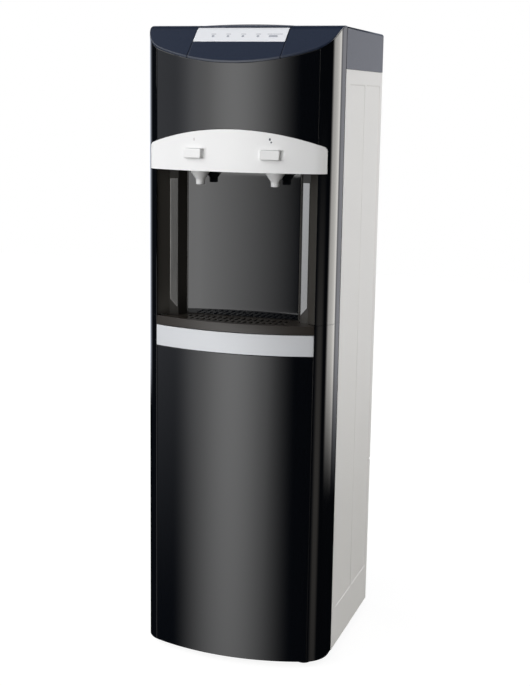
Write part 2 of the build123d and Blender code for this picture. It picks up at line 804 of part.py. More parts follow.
def drip_grille():
    high = tray_low + tray_height
    plate = tray_prism(0.8 + tray_wall, tray_gap + tray_wall + 0.4, high - grille_wall, high)
    slots = []
    count = int((plate_half - 8) / grille_pitch)
    back = plate_y - 9
    for i in range(-count, count + 1):
        x = i * grille_pitch
        mid = (front_y_at(x) + back) / 2 + 4
        for y0, y1 in ((front_y_at(x, 12), mid - 2), (mid + 2, back)):
            slot = Pos(x, (y0 + y1) / 2, high - grille_wall) * SlotOverall(y1 - y0, grille_slot, rotation=90)
            slots.append(extrude(slot, amount=grille_wall + 1, dir=(0, 0, 1)))
    return plate - slots


# Lower door

def door_frame():
    # The two pillars of the door: the left one has the hinge arms, the right one the catch lug.
    high = door_top - fit_gap
    frame = skin(0, plastic_wall, moulding_y, door_low, high)
    frame -= block(-half_window, half_window, front_y - 10, moulding_y + 10, door_low - 1, high + 1)
    for z in (hinge_arm_low, high - 0.3 - hinge_arm_height):
        frame += hinge_arm(z)
        frame -= rod(hinge_x, hinge_y, z - 1, z + hinge_arm_height + 1, hinge_pin_radius + hinge_clearance)
    lug_y = catch_y - 0.3 - 1.2
    frame += block(catch_x - 8, half_width - 2.5, lug_y - 4, lug_y, catch_low, catch_low + catch_height)
    return frame


def door_backing():
    web = skin(door_web, door_web + backing_wall, moulding_y, door_low, trim_high_z - 0.8)
    return web & block(-half_window - 4, half_window + 4, front_y - 10, corner_y, door_low, trim_high_z)


def catch_plate():
    x = catch_x
    return block(x - 7, x + 7, catch_y - 1.5, catch_y - 0.3, catch_low + 4, catch_low + catch_height - 4)


def magnetic_catch():
    x = catch_x
    back = panel_y + 14
    high = catch_low + catch_height
    body = block(x - 7, x + 7, catch_y, back, catch_low + 4, high - 4)
    return body + block(x - 7, half_width - sheet_wall, panel_y + sheet_wall, back, catch_low, high)


def door_panel():
    inner = half_window - 0.5
    panel = skin(0, panel_wall, moulding_y, door_low, trim_low_z - 0.4)
    return panel & block(-inner, inner, front_y - 10, corner_y, door_low, trim_low_z)


def door_trim_band():
    inner = half_window - 0.5
    band = skin(0, panel_wall, moulding_y, trim_low_z, trim_high_z)
    return band & block(-inner, inner, front_y - 10, corner_y, trim_low_z, trim_high_z)


def door_liner():
    outer = door_web + backing_wall + fit_gap
    half = half_window - 18
    low = door_low + 40
    high = trim_high_z - 20
    liner = skin(outer, outer + 1.8, moulding_y, low, high)
    rim = skin(outer, outer + liner_rib_depth, moulding_y, low, high)
    cell = (high - low - 3) / (liner_rib_count + 1)
    for i in range(liner_rib_count + 1):
        z = low + 3 + i * cell
        rim -= block(-half + 3, half - 3, front_y - 10, moulding_y + 30, z, z + cell - 3)
    return (liner + rim) & block(-half, half, front_y - 10, corner_y - 10, low, high)


def hinge_pins():
    high = door_top - fit_gap
    low_pin = rod(hinge_x, hinge_y, base_z, hinge_arm_low + hinge_arm_height - 1, hinge_pin_radius)
    high_pin = rod(hinge_x, hinge_y, high - hinge_arm_height + 1, door_top + fit_gap + 9, hinge_pin_radius)
    return group([low_pin, high_pin])


# Inner frame, filters and water lines

def inner_frame():
    wall = block(-frame_half, frame_half, partition_y, partition_y + sheet_wall, pan_top, shelf_top)
    shelf = block(-frame_half, frame_half, liner_back + shelf_gap, rear_panel_y - fit_gap, shelf_z, shelf_top)
    frame = wall + shelf
    for side in (-1, 1):
        x = side * (frame_half - 0.5)
        frame += block(x - 0.5, x + 0.5, partition_y, rear_panel_y - fit_gap, shelf_z, shelf_z + 16)
        frame += block(x - 0.5, x + 0.5, partition_y, partition_y + 16, base_z + 26, shelf_top)
    frame -= rod_y(filter_xs[0] - port_offset, supply_z, partition_y - 1, partition_y + 3, 5.0)
    share = (partition_y - filter_y) / (feed_y - filter_y)
    last = filter_xs[-1] + port_offset
    cross_x = last + share * (feed_x - last)
    frame -= block(cross_x - 9, cross_x + 9, partition_y - 1, partition_y + 3, feed_z - 6, feed_z + 6)
    frame -= rod(feed_x, feed_y, shelf_z - 1, shelf_top + 1, 5.0)
    return frame


def filter_manifold():
    bar = block(filter_xs[0] - 26, filter_xs[-1] + 26, filter_y - 12, partition_y, head_top - 14, head_top)
    for x in filter_xs:
        bar += rod(x, filter_y, head_low, head_top, 22.0)
        for dx in (-port_offset, port_offset):
            bar += rod(x + dx, filter_y, head_top - 1, head_top + 10, 5.0)
    seat = filter_neck_radius + neck_clearance
    for x in filter_xs:
        bar -= rod(x, filter_y, head_low - 1, head_low + filter_neck_height, seat)
        for dx in (-port_offset, port_offset):
            bar -= rod(x + dx, filter_y, head_top + 3, head_top + 11, tube_radius)
    return bar


def filter_cartridge(x):
    high = filter_low + filter_body
    body = rod(x, filter_y, filter_low, high, filter_radius)
    body = fillet(body.edges().group_by(Axis.Z)[0] + body.edges().group_by(Axis.Z)[-1], 7.0)
    body += rod(x, filter_y, high - 1, high + filter_neck_height - 0.6, filter_neck_radius)
    body += rod(x, filter_y, high - 34, high - 12, filter_radius + 1.2)
    for i in range(2):
        body += Pos(x, filter_y, filter_low - 4) * Rot(0, 0, 90 * i) * Box(34, 4, 14)
    return body


def water_tubes():
    top = head_top + 3.2
    outer = tube_radius - 0.02
    tubes = []
    high = top + 22
    for left, right in zip(filter_xs[:-1], filter_xs[1:]):
        start = left + port_offset
        end = right - port_offset
        points = [(x, filter_y, z) for x, z in ((start, top), (start, high), (end, high), (end, top))]
        tubes.append(tube(points, 14, outer, tube_bore))
    first = filter_xs[0] - port_offset
    bend_y = rear_panel_y - 103.5
    supply = [(inlet_x, rear_panel_y - 14, port_z), (inlet_x, bend_y, port_z), (first, bend_y, port_z + 60),
              (first, bend_y, supply_z), (first, filter_y, supply_z), (first, filter_y, top)]
    tubes.append(tube(supply, 15, outer, tube_bore))
    last = filter_xs[-1] + port_offset
    feed = [(last, filter_y, top), (last, filter_y, feed_z), (feed_x, feed_y, feed_z),
            (feed_x, feed_y, lid_top + 24), (cold_x + 24, cold_y - 8, lid_top + 24),
            (cold_x + 24, cold_y - 8, lid_top + 3.2)]
    tubes.append(tube(feed, 12, outer, tube_bore))
    port_y = nozzle_y - 4 + 26.2
    hot = [(-tap_x, port_y, valve_z), (-tap_x, port_y + 50, valve_z), (hot_x, hot_y, valve_z + 4),
           (hot_x, hot_y, hot_top + 10.2)]
    tubes.append(tube(hot, 11, outer, tube_bore))
    cold = [(tap_x, port_y, valve_z), (tap_x, port_y + 34, valve_z), (tap_x, port_y + 34, lid_top + 40),
            (tap_x, cold_y - 20, lid_top + 40), (tap_x, cold_y - 20, lid_top + 3.2)]
    tubes.append(tube(cold, 13, outer, tube_bore))
    return group(tubes)


# Tanks on the shelf

def cold_tank():
    tank = rod(cold_x, cold_y, cold_low, lid_low, cold_tank_radius)
    return tank - rod(cold_x, cold_y, cold_low + tank_wall, lid_low + 1, cold_tank_radius - tank_wall)


def tank_lid():
    lid = rod(cold_x, cold_y, lid_low, lid_top, foam_radius)
    for x, y in ((cold_x + 24, cold_y - 8), (tap_x, cold_y - 20)):
        lid += rod(x, y, lid_top - 1, lid_top + 9, 5.0)
        lid -= rod(x, y, lid_top + 3, lid_top + 10, tube_radius)
    return lid


def tank_insulation():
    cold = rod(cold_x, cold_y, shelf_top, lid_low, foam_radius)
    cold -= rod(cold_x, cold_y, cold_low, lid_low + 1, foam_bore)
    hot = rod(hot_x, hot_y, shelf_top, hot_top, hot_foam_radius)
    hot -= rod(hot_x, hot_y, hot_low, hot_low + hot_tank_height, hot_tank_radius + fit_gap)
    hot -= rod(hot_x, hot_y, hot_low, hot_top + 1, 6.0)
    return group([cold, hot])


def evaporator_coil():
    height = coil_pitch * coil_turns
    radius = cold_tank_radius + coil_tube_radius + 0.15
    helix_gap("evaporator coil", radius, coil_pitch, coil_turns, coil_tube_radius)
    coil = Wire([Edge.make_helix(coil_pitch, height, radius)])
    section = Plane(origin=coil @ 0, z_dir=coil % 0) * Circle(coil_tube_radius)
    return Pos(cold_x, cold_y, cold_low + 40) * sweep(section, path=coil, is_frenet=True)


def hot_tank():
    high = hot_low + hot_tank_height
    low = hot_low + tank_wall
    tank = rod(hot_x, hot_y, hot_low, high, hot_tank_radius)
    tank -= rod(hot_x, hot_y, low, high - tank_wall, hot_tank_radius - tank_wall)
    tank += rod(hot_x, hot_y, high - 1, hot_top + 16, 5.0)
    tank -= rod(hot_x, hot_y, hot_top + 10, hot_top + 17, tube_radius)
    left = hot_x - heater_half
    right = hot_x + heater_half
    top = low + hot_tank_height - 60
    points = [(left, hot_y, low), (left, hot_y, top), (right, hot_y, top), (right, hot_y, low)]
    heater = tube(points, heater_half - 0.5, heater_radius)
    heater += rod(hot_x, hot_y, low, low + 6, heater_half + heater_radius + 6)
    return group([tank, heater])


# Machine compartment

def compressor():
    top = compressor_low + compressor_height
    pot = rod(compressor_x, compressor_y, compressor_low + 3, top, compressor_radius)
    pot = fillet(pot.edges().group_by(Axis.Z)[0] + pot.edges().group_by(Axis.Z)[-1], 22.0)
    plate = block(compressor_x - 82, compressor_x + 82, compressor_y - 58, compressor_y + 58,
                  compressor_low, compressor_low + 3.5)
    seam = rod(compressor_x, compressor_y, compressor_low + 84, compressor_low + 90, compressor_radius + 2)
    pot = pot + plate + seam
    pot += block(compressor_x - 26, compressor_x + 26, compressor_y - 78, compressor_y - 50,
                 compressor_low + 50, compressor_low + 110)
    for x, y in compressor_feet:
        pot -= rod(x, y, compressor_low - 1, compressor_low + 5, 5.2)
    return pot


def compressor_grommets():
    grommets = []
    for x, y in compressor_feet:
        low = pan_top
        body = rod(x, y, low, compressor_low, 9.0) + rod(x, y, low, compressor_low + 7, 5.0)
        body += rod(x, y, compressor_low + 4.0, compressor_low + 7, 7.5)
        grommets.append(body)
    return group(grommets)


def refrigerant_pipes():
    top = compressor_low + compressor_height
    x = compressor_x + 32
    y = compressor_y + 30
    discharge = [(x, compressor_y, top), (x, compressor_y, top + 50), (discharge_x, y, top + 50),
                 (discharge_x, y, condenser_low), (discharge_x, condenser_y, condenser_low),
                 (condenser_half + 0.1, condenser_y, condenser_low)]
    x = compressor_x - 32
    suction = [(x, compressor_y, top), (x, compressor_y, top + 110), (x + 20, compressor_y, top + 180),
               (x + 20, compressor_y, shelf_z - 0.2)]
    return group([tube(discharge, 9, condenser_tube_radius), tube(suction, 16, 3.2)])


def booster_pump():
    x = pump_x
    y = partition_y + 52
    z = pan_top + 36
    motor = rod_y(x, z, y + 26, y + 108, 27.0)
    motor += block(x - 24, x + 24, y + 42, y + 94, pan_top, z)
    head = block(x - 27, x + 27, y, y + 25.9, z - 25, z + 25)
    head = fillet(head.edges().filter_by(Axis.Y), 8.0)
    for dx in (-14, 14):
        head += rod(x + dx, y + 12, z + 24, z + 38, 5.0)
    return group([motor, head])


def transformer():
    low = pan_top
    y = partition_y + 8
    x = transformer_x
    core = block(x - 33, x + 33, y, y + 36, low, low + 54)
    winding = block(x - 21, x + 21, y - 4, y + 40, low + 11, low + 43)
    return core + winding


# Controls on the rear and the electronics

def mains_inlet():
    y = rear_panel_y + sheet_wall
    low = port_z - mains_half_z
    body = block(mains_x - mains_half_x, mains_x + mains_half_x, y - 20, y, low, port_z + mains_half_z)
    flange = block(mains_x - 25, mains_x + 25, y, y + 3, port_z - 12, port_z + 12)
    body += fillet(flange.edges().filter_by(Axis.Y), 5.0)
    body -= block(mains_x - 11.8, mains_x + 11.8, y - 16, y + 4, port_z - 8, port_z + 8)
    for dx, dz in ((-7, -1.5), (0, 2.5), (7, -1.5)):
        body += block(mains_x + dx - 1, mains_x + dx + 1, y - 17, y - 4, port_z + dz - 2, port_z + dz + 2)
    for dx in (-20, 20):
        body -= rod_y(mains_x + dx, port_z, y - 1, y + 4, 1.8)
    return body


def switch_housings():
    y = rear_panel_y + sheet_wall
    housings = []
    half_x = switch_half_x
    half_z = switch_half_z
    lip_x = half_x + 1.5
    lip_z = half_z + 1.5
    for x in switch_xs:
        case = block(x - half_x, x + half_x, y - 14, y, port_z - half_z, port_z + half_z)
        case += block(x - lip_x, x + lip_x, y, y + 1.8, port_z - lip_z, port_z + lip_z)
        case -= block(x - 5.2, x + 5.2, y - 12, y + 3, port_z - 8.3, port_z + 8.3)
        case -= rod_x(y - 2, port_z, x - 6.1, x + 6.1, 1.25)
        housings.append(case)
    return group(housings)


def switch_rocker(x):
    y = rear_panel_y + sheet_wall - 2
    body = rod_x(y, port_z, x - 4.9, x + 4.9, 7.6)
    body &= block(x - 5, x + 5, y - 6, y + 5.5, port_z - 8, port_z + 8)
    body += rod_x(y, port_z, x - 5.9, x + 5.9, 1.2)
    return Pos(x, y, port_z) * Rot(rocker_tilt, 0, 0) * Pos(-x, -y, -port_z) * body


def control_board():
    inner = half_width - sheet_wall - emboss_depth
    y = partition_y + 32
    z = hot_top + 26
    board = block(-inner + 6, -inner + 7.6, y, y + 106, z, z + 94)
    board += block(-inner + 7.5, -inner + 30, y + 20, y + 54, z + 10, z + 44)
    board += block(-inner + 7.5, -inner + 24, y + 66, y + 94, z + 10, z + 40)
    board += block(-inner + 7.5, -inner + 19, y + 14, y + 98, z + 68, z + 84)
    posts = []
    for dy in (6, 100):
        for dz in (6, 88):
            posts.append(rod_x(y + dy, z + dz, -inner, -inner + 6, 3.5))
    return group([board] + posts)


def water_inlet_fitting():
    y = rear_panel_y + sheet_wall
    body = rod_y(inlet_x, port_z, rear_panel_y - 14, y, inlet_shank) + rod_y(inlet_x, port_z, y, y + 4, 10.0)
    body += rod_y(inlet_x, port_z, y + 3, y + 19, 7.4) + rod_y(inlet_x, port_z, y + 15, y + 19, 8.4)
    body += rod_y(inlet_x, port_z, rear_panel_y - 6, rear_panel_y, 10.0)
    body -= rod_y(inlet_x, port_z, y + 19 - inlet_bore_depth, y + 20, inlet_bore_radius)
    body -= rod_y(inlet_x, port_z, rear_panel_y - 15, y + 8, 2.2)
    return body


def drain_plugs():
    y = rear_panel_y + sheet_wall
    plugs = []
    for x in drain_xs:
        plug = rod_y(x, port_z, rear_panel_y - 10, y, drain_radius) + rod_y(x, port_z, y, y + 12, 11.0)
        grip = Pos(11.5, 0, 0) * Rot(90, 0, 0) * Cylinder(1.6, 12)
        for i in range(8):
            plug -= Pos(x, y + 9, port_z) * Rot(0, 45 * i, 0) * grip
        plugs.append(plug)
    return group(plugs)


def rear_screws():
    screws = []
    half = half_width - flange_width - 12
    rows = (base_z + 18, base_z + grille_height - 14)
    places = [(x, rear_y - 3, z) for x in (-half, half) for z in rows]
    half = half_width - 20
    heights = (port_z + 30, shelf_z + 49, cap_z - 20)
    places += [(x, rear_panel_y + sheet_wall, z) for x in (-half, half) for z in heights]
    cross = Box(4.6, 1.6, 0.9) + Box(0.9, 1.6, 4.6)
    for x, y, z in places:
        head = rod_y(x, z, y, y + 2.2, 3.8)
        head = fillet(head.edges().group_by(Axis.Y)[-1], 1.0)
        screws.append(head - Pos(x, y + 2.2, z) * cross)
    return group(screws)


def control_label():
    # A thin film that follows the slope and the start of the ridge.
    half = half_insert - label_margin
    y = front_y + label_front
    film = under_cap(-label_wall) - under_cap(0)
    return film & block(-half, half, y, y + label_depth, cap_z, ridge_z + 5)


def indicator_lenses():
    lenses = []
    plane = slope_plane(front_y + label_front + lens_front).offset(label_wall)
    for i in range(lens_count):
        outline = Circle(lens_size / 2)
        if i == lens_count - 1:
            outline = SlotOverall(lens_wide, lens_size)
        x = -label_span / 2 + lens_start + i * lens_pitch
        lenses.append(extrude(plane * Pos(x, 0) * outline, amount=lens_stand))
    return group(lenses)


pieces = {
    "base_pan": base_pan,
    "rubber_feet": rubber_feet,
    "right_side_panel": right_side_panel,
    "rear_panel": rear_panel,
    "rear_grille": rear_grille,
    "condenser": condenser,
    "condenser_clips": condenser_clips,
    "top_cover": top_cover,
    "control_fascia": control_fascia,
    "control_panel": control_panel,
    "control_label": control_label,
    "indicator_lenses": indicator_lenses,
    "front_housing": front_housing,
    "upper_front_panel": upper_front_panel,
    "tap_cover": tap_cover,
    "nozzles": nozzles,
    "button_springs": button_springs,
    "button_switches": button_switches,
    "tap_valves": tap_valves,
    "recess_liner": recess_liner,
    "recess_back_plate": recess_back_plate,
    "recess_trim_strips": recess_trim_strips,
    "drip_tray": drip_tray,
    "drip_grille": drip_grille,
    "door_frame": door_frame,
    "door_backing": door_backing,
    "door_panel": door_panel,
    "door_trim_band": door_trim_band,
    "door_liner": door_liner,
    "hinge_pins": hinge_pins,
    "magnetic_catch": magnetic_catch,
    "catch_plate": catch_plate,
    "inner_frame": inner_frame,
    "filter_manifold": filter_manifold,
    "water_tubes": water_tubes,
    "cold_tank": cold_tank,
    "tank_lid": tank_lid,
    "tank_insulation": tank_insulation,
    "evaporator_coil": evaporator_coil,
    "hot_tank": hot_tank,
    "compressor": compressor,
    "compressor_grommets": compressor_grommets,
    "refrigerant_pipes": refrigerant_pipes,
    "booster_pump": booster_pump,
    "transformer": transformer,
    "mains_inlet": mains_inlet,
    "switch_housings": switch_housings,
    "control_board": control_board,
    "water_inlet_fitting": water_inlet_fitting,
    "drain_plugs": drain_plugs,
    "rear_screws": rear_screws,
}

for node, make in pieces.items():
    print("making", node)
    save(make(), node)
save(mirrored(right_side_panel()), "left_side_panel")
for side, node in ((-1, "hot"), (1, "cold")):
    save(push_button(side), node + "_button")
for x, node in zip(filter_xs, ("sediment", "carbon", "membrane", "polishing")):
    save(filter_cartridge(x), node + "_filter")
for x, node in zip(switch_xs, ("hot", "cold")):
    save(switch_rocker(x), node + "_switch_rocker")
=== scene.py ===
import bpy
import bmesh
import math
from mathutils import Matrix, Vector


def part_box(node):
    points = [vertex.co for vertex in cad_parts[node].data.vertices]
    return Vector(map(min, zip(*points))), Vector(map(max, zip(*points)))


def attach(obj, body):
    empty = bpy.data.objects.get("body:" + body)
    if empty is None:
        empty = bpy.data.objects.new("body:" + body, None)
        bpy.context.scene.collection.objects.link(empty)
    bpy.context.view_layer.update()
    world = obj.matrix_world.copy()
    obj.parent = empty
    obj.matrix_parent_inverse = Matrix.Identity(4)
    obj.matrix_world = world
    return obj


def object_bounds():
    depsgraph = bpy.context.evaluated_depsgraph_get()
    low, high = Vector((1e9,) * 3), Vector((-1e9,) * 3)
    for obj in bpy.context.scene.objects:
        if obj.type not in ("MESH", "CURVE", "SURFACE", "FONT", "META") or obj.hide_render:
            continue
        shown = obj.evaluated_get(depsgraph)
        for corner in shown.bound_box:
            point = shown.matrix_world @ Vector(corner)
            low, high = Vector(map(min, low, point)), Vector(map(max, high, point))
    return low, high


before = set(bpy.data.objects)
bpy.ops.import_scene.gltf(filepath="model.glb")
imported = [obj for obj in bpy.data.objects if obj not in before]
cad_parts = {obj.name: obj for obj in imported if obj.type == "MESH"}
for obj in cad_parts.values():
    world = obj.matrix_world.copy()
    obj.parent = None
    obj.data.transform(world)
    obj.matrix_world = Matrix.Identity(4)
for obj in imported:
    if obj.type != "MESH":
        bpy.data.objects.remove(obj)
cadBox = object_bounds()
print("frame loaded:", len(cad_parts), "nodes")

mm = 0.001
scene = bpy.context.scene
scene.view_settings.view_transform = "Standard"  # keeps the studio's white a true white


def toLinear(hexColour):
    text = hexColour.lstrip("#")
    channels = [int(text[i:i + 2], 16) / 255 for i in (0, 2, 4)]
    return tuple(c / 12.92 if c <= 0.04045 else ((c + 0.055) / 1.055) ** 2.4 for c in channels) + (1.0,)


# adds one node: attributes from settings, sockets from inputs, where a socket as value is a link
def addNode(tree, kind, settings=None, inputs=None):
    node = tree.nodes.new(kind)
    for name, value in (settings or {}).items():
        setattr(node, name, value)
    for name, value in (inputs or {}).items():
        if isinstance(value, bpy.types.NodeSocket):
            tree.links.new(value, node.inputs[name])
        else:
            node.inputs[name].default_value = value
    return node


# camera: a little above the taps, looking down from the front right
cameraSet = {
    "azimuth": 18.0,  # degrees round from the front
    "elevation": 10.92,
    "roll": 0.92,
    "distance": 2.1306,
    "target": (0.0022, 0.0162, 0.4975),
    "lens": 66.37,
    "sensor": 36.0,
}


def makeCamera(settings):
    azimuth, elevation, roll = (math.radians(settings[k]) for k in ("azimuth", "elevation", "roll"))
    level = math.cos(elevation)
    back = Vector((math.sin(azimuth) * level, -math.cos(azimuth) * level, math.sin(elevation)))
    right = (-back).cross(Vector((0, 0, 1))).normalized()
    up = right.cross(-back)
    sideways = right * math.cos(roll) + up * math.sin(roll)
    upright = up * math.cos(roll) - right * math.sin(roll)
    data = bpy.data.cameras.new("camera")
    data.sensor_width = settings["sensor"]
    data.lens = settings["lens"]
    camera = bpy.data.objects.new("camera", data)
    turn = Matrix((sideways, upright, back)).transposed().to_4x4()
    camera.matrix_world = Matrix.Translation(Vector(settings["target"]) + back * settings["distance"]) @ turn
    scene.collection.objects.link(camera)
    scene.camera = camera


makeCamera(cameraSet)
print("camera placed")

# studio: softboxes standing in a ring round the object, each with faded edges. Angles are in degrees:
# azimuth round from the front, half for the full and the faded half width, low and high for the
# elevations between which the lower and the upper edge fade
softboxes = {
    "frontKey": {"azimuth": -18, "half": (0, 36), "low": (-60, -5), "high": (8, 22),
                 "strength": 3.1, "colour": "#ffffff"},
    "leftWall": {"azimuth": -55, "half": (12, 24), "low": (-24, -2), "high": (12, 28),
                 "strength": 0.66, "colour": "#f4f7ff"},
    "leftBack": {"azimuth": -150, "half": (8, 45), "low": (-14, -11), "high": (12, 28),
                 "strength": 1.4, "colour": "#e8efff"},
    "rightStrip": {"azimuth": 121, "half": (16, 29), "low": (-18, -10), "high": (5, 12),
                   "strength": 5.9, "colour": "#fffcf7"},
    "backRight": {"azimuth": 158, "half": (6, 24), "low": (-18, -10), "high": (5, 12),
                  "strength": 0.8, "colour": "#f6f7ff"},
    "dimRight": {"azimuth": 63, "half": (4, 20), "low": (-40, -16), "high": (-14, 0),
                 "strength": 0.55, "colour": "#fff8ee"},
    "topLeft": {"azimuth": -58, "half": (0, 95), "low": (15, 26), "high": (44, 58),
                "strength": 4.0, "colour": "#ffffff"},
    "topRight": {"azimuth": 110, "half": (0, 80), "low": (15, 26), "high": (44, 58),
                 "strength": 0.2, "colour": "#ffffff"},
    "zenith": {"azimuth": 0, "half": (179, 180), "low": (50, 62), "high": (90, 91),
               "strength": 0.22, "colour": "#e8eeff"},
}
studioSet = {
    "backdrop": 1.0,
    "floorSize": 9.0,
    "floorGlow": 0.9,
    "floorColour": "#7c7c7b",
    "floorRoughness": 0.9,
    "lampPlace": (1.5, 0.75, 1.7),
    "lampAim": (0.155, 0.04, 0.8),
    "lampSize": 0.9,
    "lampPower": 9.5,
    # a black flag before the recess, seen in reflections only: clear at its left end, dark at its right
    "flagLow": (-0.16, -0.33, 0.53),
    "flagHigh": (0.3, -0.33, 0.77),
    "flagFade": (-0.165, 0.03),
}


def makeWorld(boxes, settings):
    world = bpy.data.worlds.new("studio")
    scene.world = world
    world.use_nodes = True
    tree = world.node_tree
    tree.nodes.clear()
    place = addNode(tree, "ShaderNodeTexCoord")
    axes = addNode(tree, "ShaderNodeSeparateXYZ", inputs={0: place.outputs["Generated"]})
    towards = addNode(tree, "ShaderNodeMath", {"operation": "MULTIPLY"}, {0: axes.outputs["Y"], 1: -1.0})
    azimuth = addNode(tree, "ShaderNodeMath", {"operation": "ARCTAN2"},
                      {0: axes.outputs["X"], 1: towards.outputs[0]})
    elevation = addNode(tree, "ShaderNodeMath", {"operation": "ARCSINE"}, {0: axes.outputs["Z"]})
    total = None
    for box in boxes.values():
        inner, outer, low, full, fade, high = (
            math.radians(a) for a in box["half"] + box["low"] + box["high"])
        off = addNode(tree, "ShaderNodeMath", {"operation": "SUBTRACT"},
                      {0: azimuth.outputs[0], 1: math.radians(box["azimuth"])})
        turned = addNode(tree, "ShaderNodeMath", {"operation": "WRAP"},
                         {0: off.outputs[0], 1: math.pi, 2: -math.pi})
        side = addNode(tree, "ShaderNodeMath", {"operation": "ABSOLUTE"}, {0: turned.outputs[0]})
        across = addNode(tree, "ShaderNodeMapRange", {"interpolation_type": "SMOOTHSTEP"},
                         {"Value": side.outputs[0], "From Min": inner, "From Max": outer,
                          "To Min": 1.0, "To Max": 0.0})
        rise = addNode(tree, "ShaderNodeMapRange", {"interpolation_type": "SMOOTHSTEP"},
                       {"Value": elevation.outputs[0], "From Min": low, "From Max": full,
                        "To Min": 0.0, "To Max": box["strength"]})
        fall = addNode(tree, "ShaderNodeMapRange", {"interpolation_type": "SMOOTHSTEP"},
                       {"Value": elevation.outputs[0], "From Min": fade, "From Max": high,
                        "To Min": 1.0, "To Max": 0.0})
        upright = addNode(tree, "ShaderNodeMath", {"operation": "MULTIPLY"},
                          {0: rise.outputs[0], 1: fall.outputs[0]})
        level = addNode(tree, "ShaderNodeMath", {"operation": "MULTIPLY"},
                        {0: upright.outputs[0], 1: across.outputs[0]})
        light = addNode(tree, "ShaderNodeVectorMath", {"operation": "SCALE"},
                        {0: toLinear(box["colour"])[:3], "Scale": level.outputs[0]})
        if total is None:
            total = light
        else:
            total = addNode(tree, "ShaderNodeVectorMath", {"operation": "ADD"},
                            {0: total.outputs[0], 1: light.outputs[0]})
    lit = addNode(tree, "ShaderNodeBackground", inputs={"Color": total.outputs[0], "Strength": 1.0})
    plain = addNode(tree, "ShaderNodeBackground",
                    inputs={"Color": (1, 1, 1, 1), "Strength": settings["backdrop"]})
    seen = addNode(tree, "ShaderNodeLightPath")
    mixed = addNode(tree, "ShaderNodeMixShader",
                    inputs={0: seen.outputs["Is Camera Ray"], 1: lit.outputs[0], 2: plain.outputs[0]})
    addNode(tree, "ShaderNodeOutputWorld", inputs={0: mixed.outputs[0]})


# white paper that glows by itself, so that only the closest contact shows a shadow
def makeFloor(settings):
    half = settings["floorSize"] / 2
    mesh = bpy.data.meshes.new("floor")
    corners = [(-half, -half, 0), (half, -half, 0), (half, half, 0), (-half, half, 0)]
    mesh.from_pydata(corners, [], [(0, 1, 2, 3)])
    floor = bpy.data.objects.new("floor", mesh)
    scene.collection.objects.link(floor)
    for kind in ("glossy", "diffuse", "shadow", "transmission"):
        setattr(floor, "visible_" + kind, False)  # the softboxes reach the object from below as well
    paper = bpy.data.materials.new("studioPaper")
    paper.use_nodes = True
    shader = paper.node_tree.nodes["Principled BSDF"]
    shader.inputs["Base Color"].default_value = toLinear(settings["floorColour"])
    shader.inputs["Roughness"].default_value = settings["floorRoughness"]
    shader.inputs["Specular IOR Level"].default_value = 0.0
    shader.inputs["Emission Color"].default_value = (1, 1, 1, 1)
    shader.inputs["Emission Strength"].default_value = settings["floorGlow"]
    mesh.materials.append(paper)


# a soft lamp high at the right rear, for the slow fall of light down the side panel
def makeLamp(settings):
    data = bpy.data.lights.new("sideLamp", "AREA")
    data.size = settings["lampSize"]
    data.energy = settings["lampPower"]
    lamp = bpy.data.objects.new("sideLamp", data)
    lamp.location = settings["lampPlace"]
    aim = Vector(settings["lampAim"]) - Vector(settings["lampPlace"])
    lamp.rotation_euler = aim.to_track_quat("-Z", "Y").to_euler()
    lamp.visible_glossy = False
    lamp.visible_camera = False
    scene.collection.objects.link(lamp)


# the flag that shades the right of the back plate
def makeFlag(settings):
    low, high = settings["flagLow"], settings["flagHigh"]
    mesh = bpy.data.meshes.new("flag")
    corners = [low, (high[0], low[1], low[2]), high, (low[0], low[1], high[2])]
    mesh.from_pydata(corners, [], [(0, 1, 2, 3)])
    flag = bpy.data.objects.new("flag", mesh)
    scene.collection.objects.link(flag)
    for kind in ("camera", "diffuse", "shadow", "transmission"):
        setattr(flag, "visible_" + kind, False)
    cloth = bpy.data.materials.new("flagCloth")
    cloth.use_nodes = True
    tree = cloth.node_tree
    tree.nodes.clear()
    place = addNode(tree, "ShaderNodeTexCoord")
    axes = addNode(tree, "ShaderNodeSeparateXYZ", inputs={0: place.outputs["Object"]})
    fade = addNode(tree, "ShaderNodeMapRange",
                   inputs={"Value": axes.outputs["X"], "From Min": settings["flagFade"][0],
                           "From Max": settings["flagFade"][1]})
    clear = addNode(tree, "ShaderNodeBsdfTransparent")
    black = addNode(tree, "ShaderNodeBsdfDiffuse", inputs={"Color": (0, 0, 0, 1)})
    mixed = addNode(tree, "ShaderNodeMixShader",
                    inputs={0: fade.outputs[0], 1: clear.outputs[0], 2: black.outputs[0]})
    addNode(tree, "ShaderNodeOutputMaterial", inputs={0: mixed.outputs[0]})
    mesh.materials.append(cloth)


makeWorld(softboxes, studioSet)
makeFloor(studioSet)
makeLamp(studioSet)
makeFlag(studioSet)
print("studio lit:", len(softboxes), "softboxes")


# a new material with its shader: fixed values go straight on the shader's sockets
def startMaterial(name, values):
    material = bpy.data.materials.new(name)
    material.use_nodes = True
    tree = material.node_tree
    shader = tree.nodes["Principled BSDF"]
    for socket, value in values.items():
        shader.inputs[socket].default_value = value
    place = addNode(tree, "ShaderNodeTexCoord").outputs["Object"]
    return material, tree, shader, place


materials = {}

# high-gloss moulded ABS, piano black: a deep body under a mirror-like skin with a faint moulding wave
glossBlack = {"colour": "#090b0f", "roughness": 0.05, "clearest": 0.8, "haziest": 1.3,
              "haze": 30 * mm, "wave": 55 * mm, "waveDepth": 0.008 * mm}


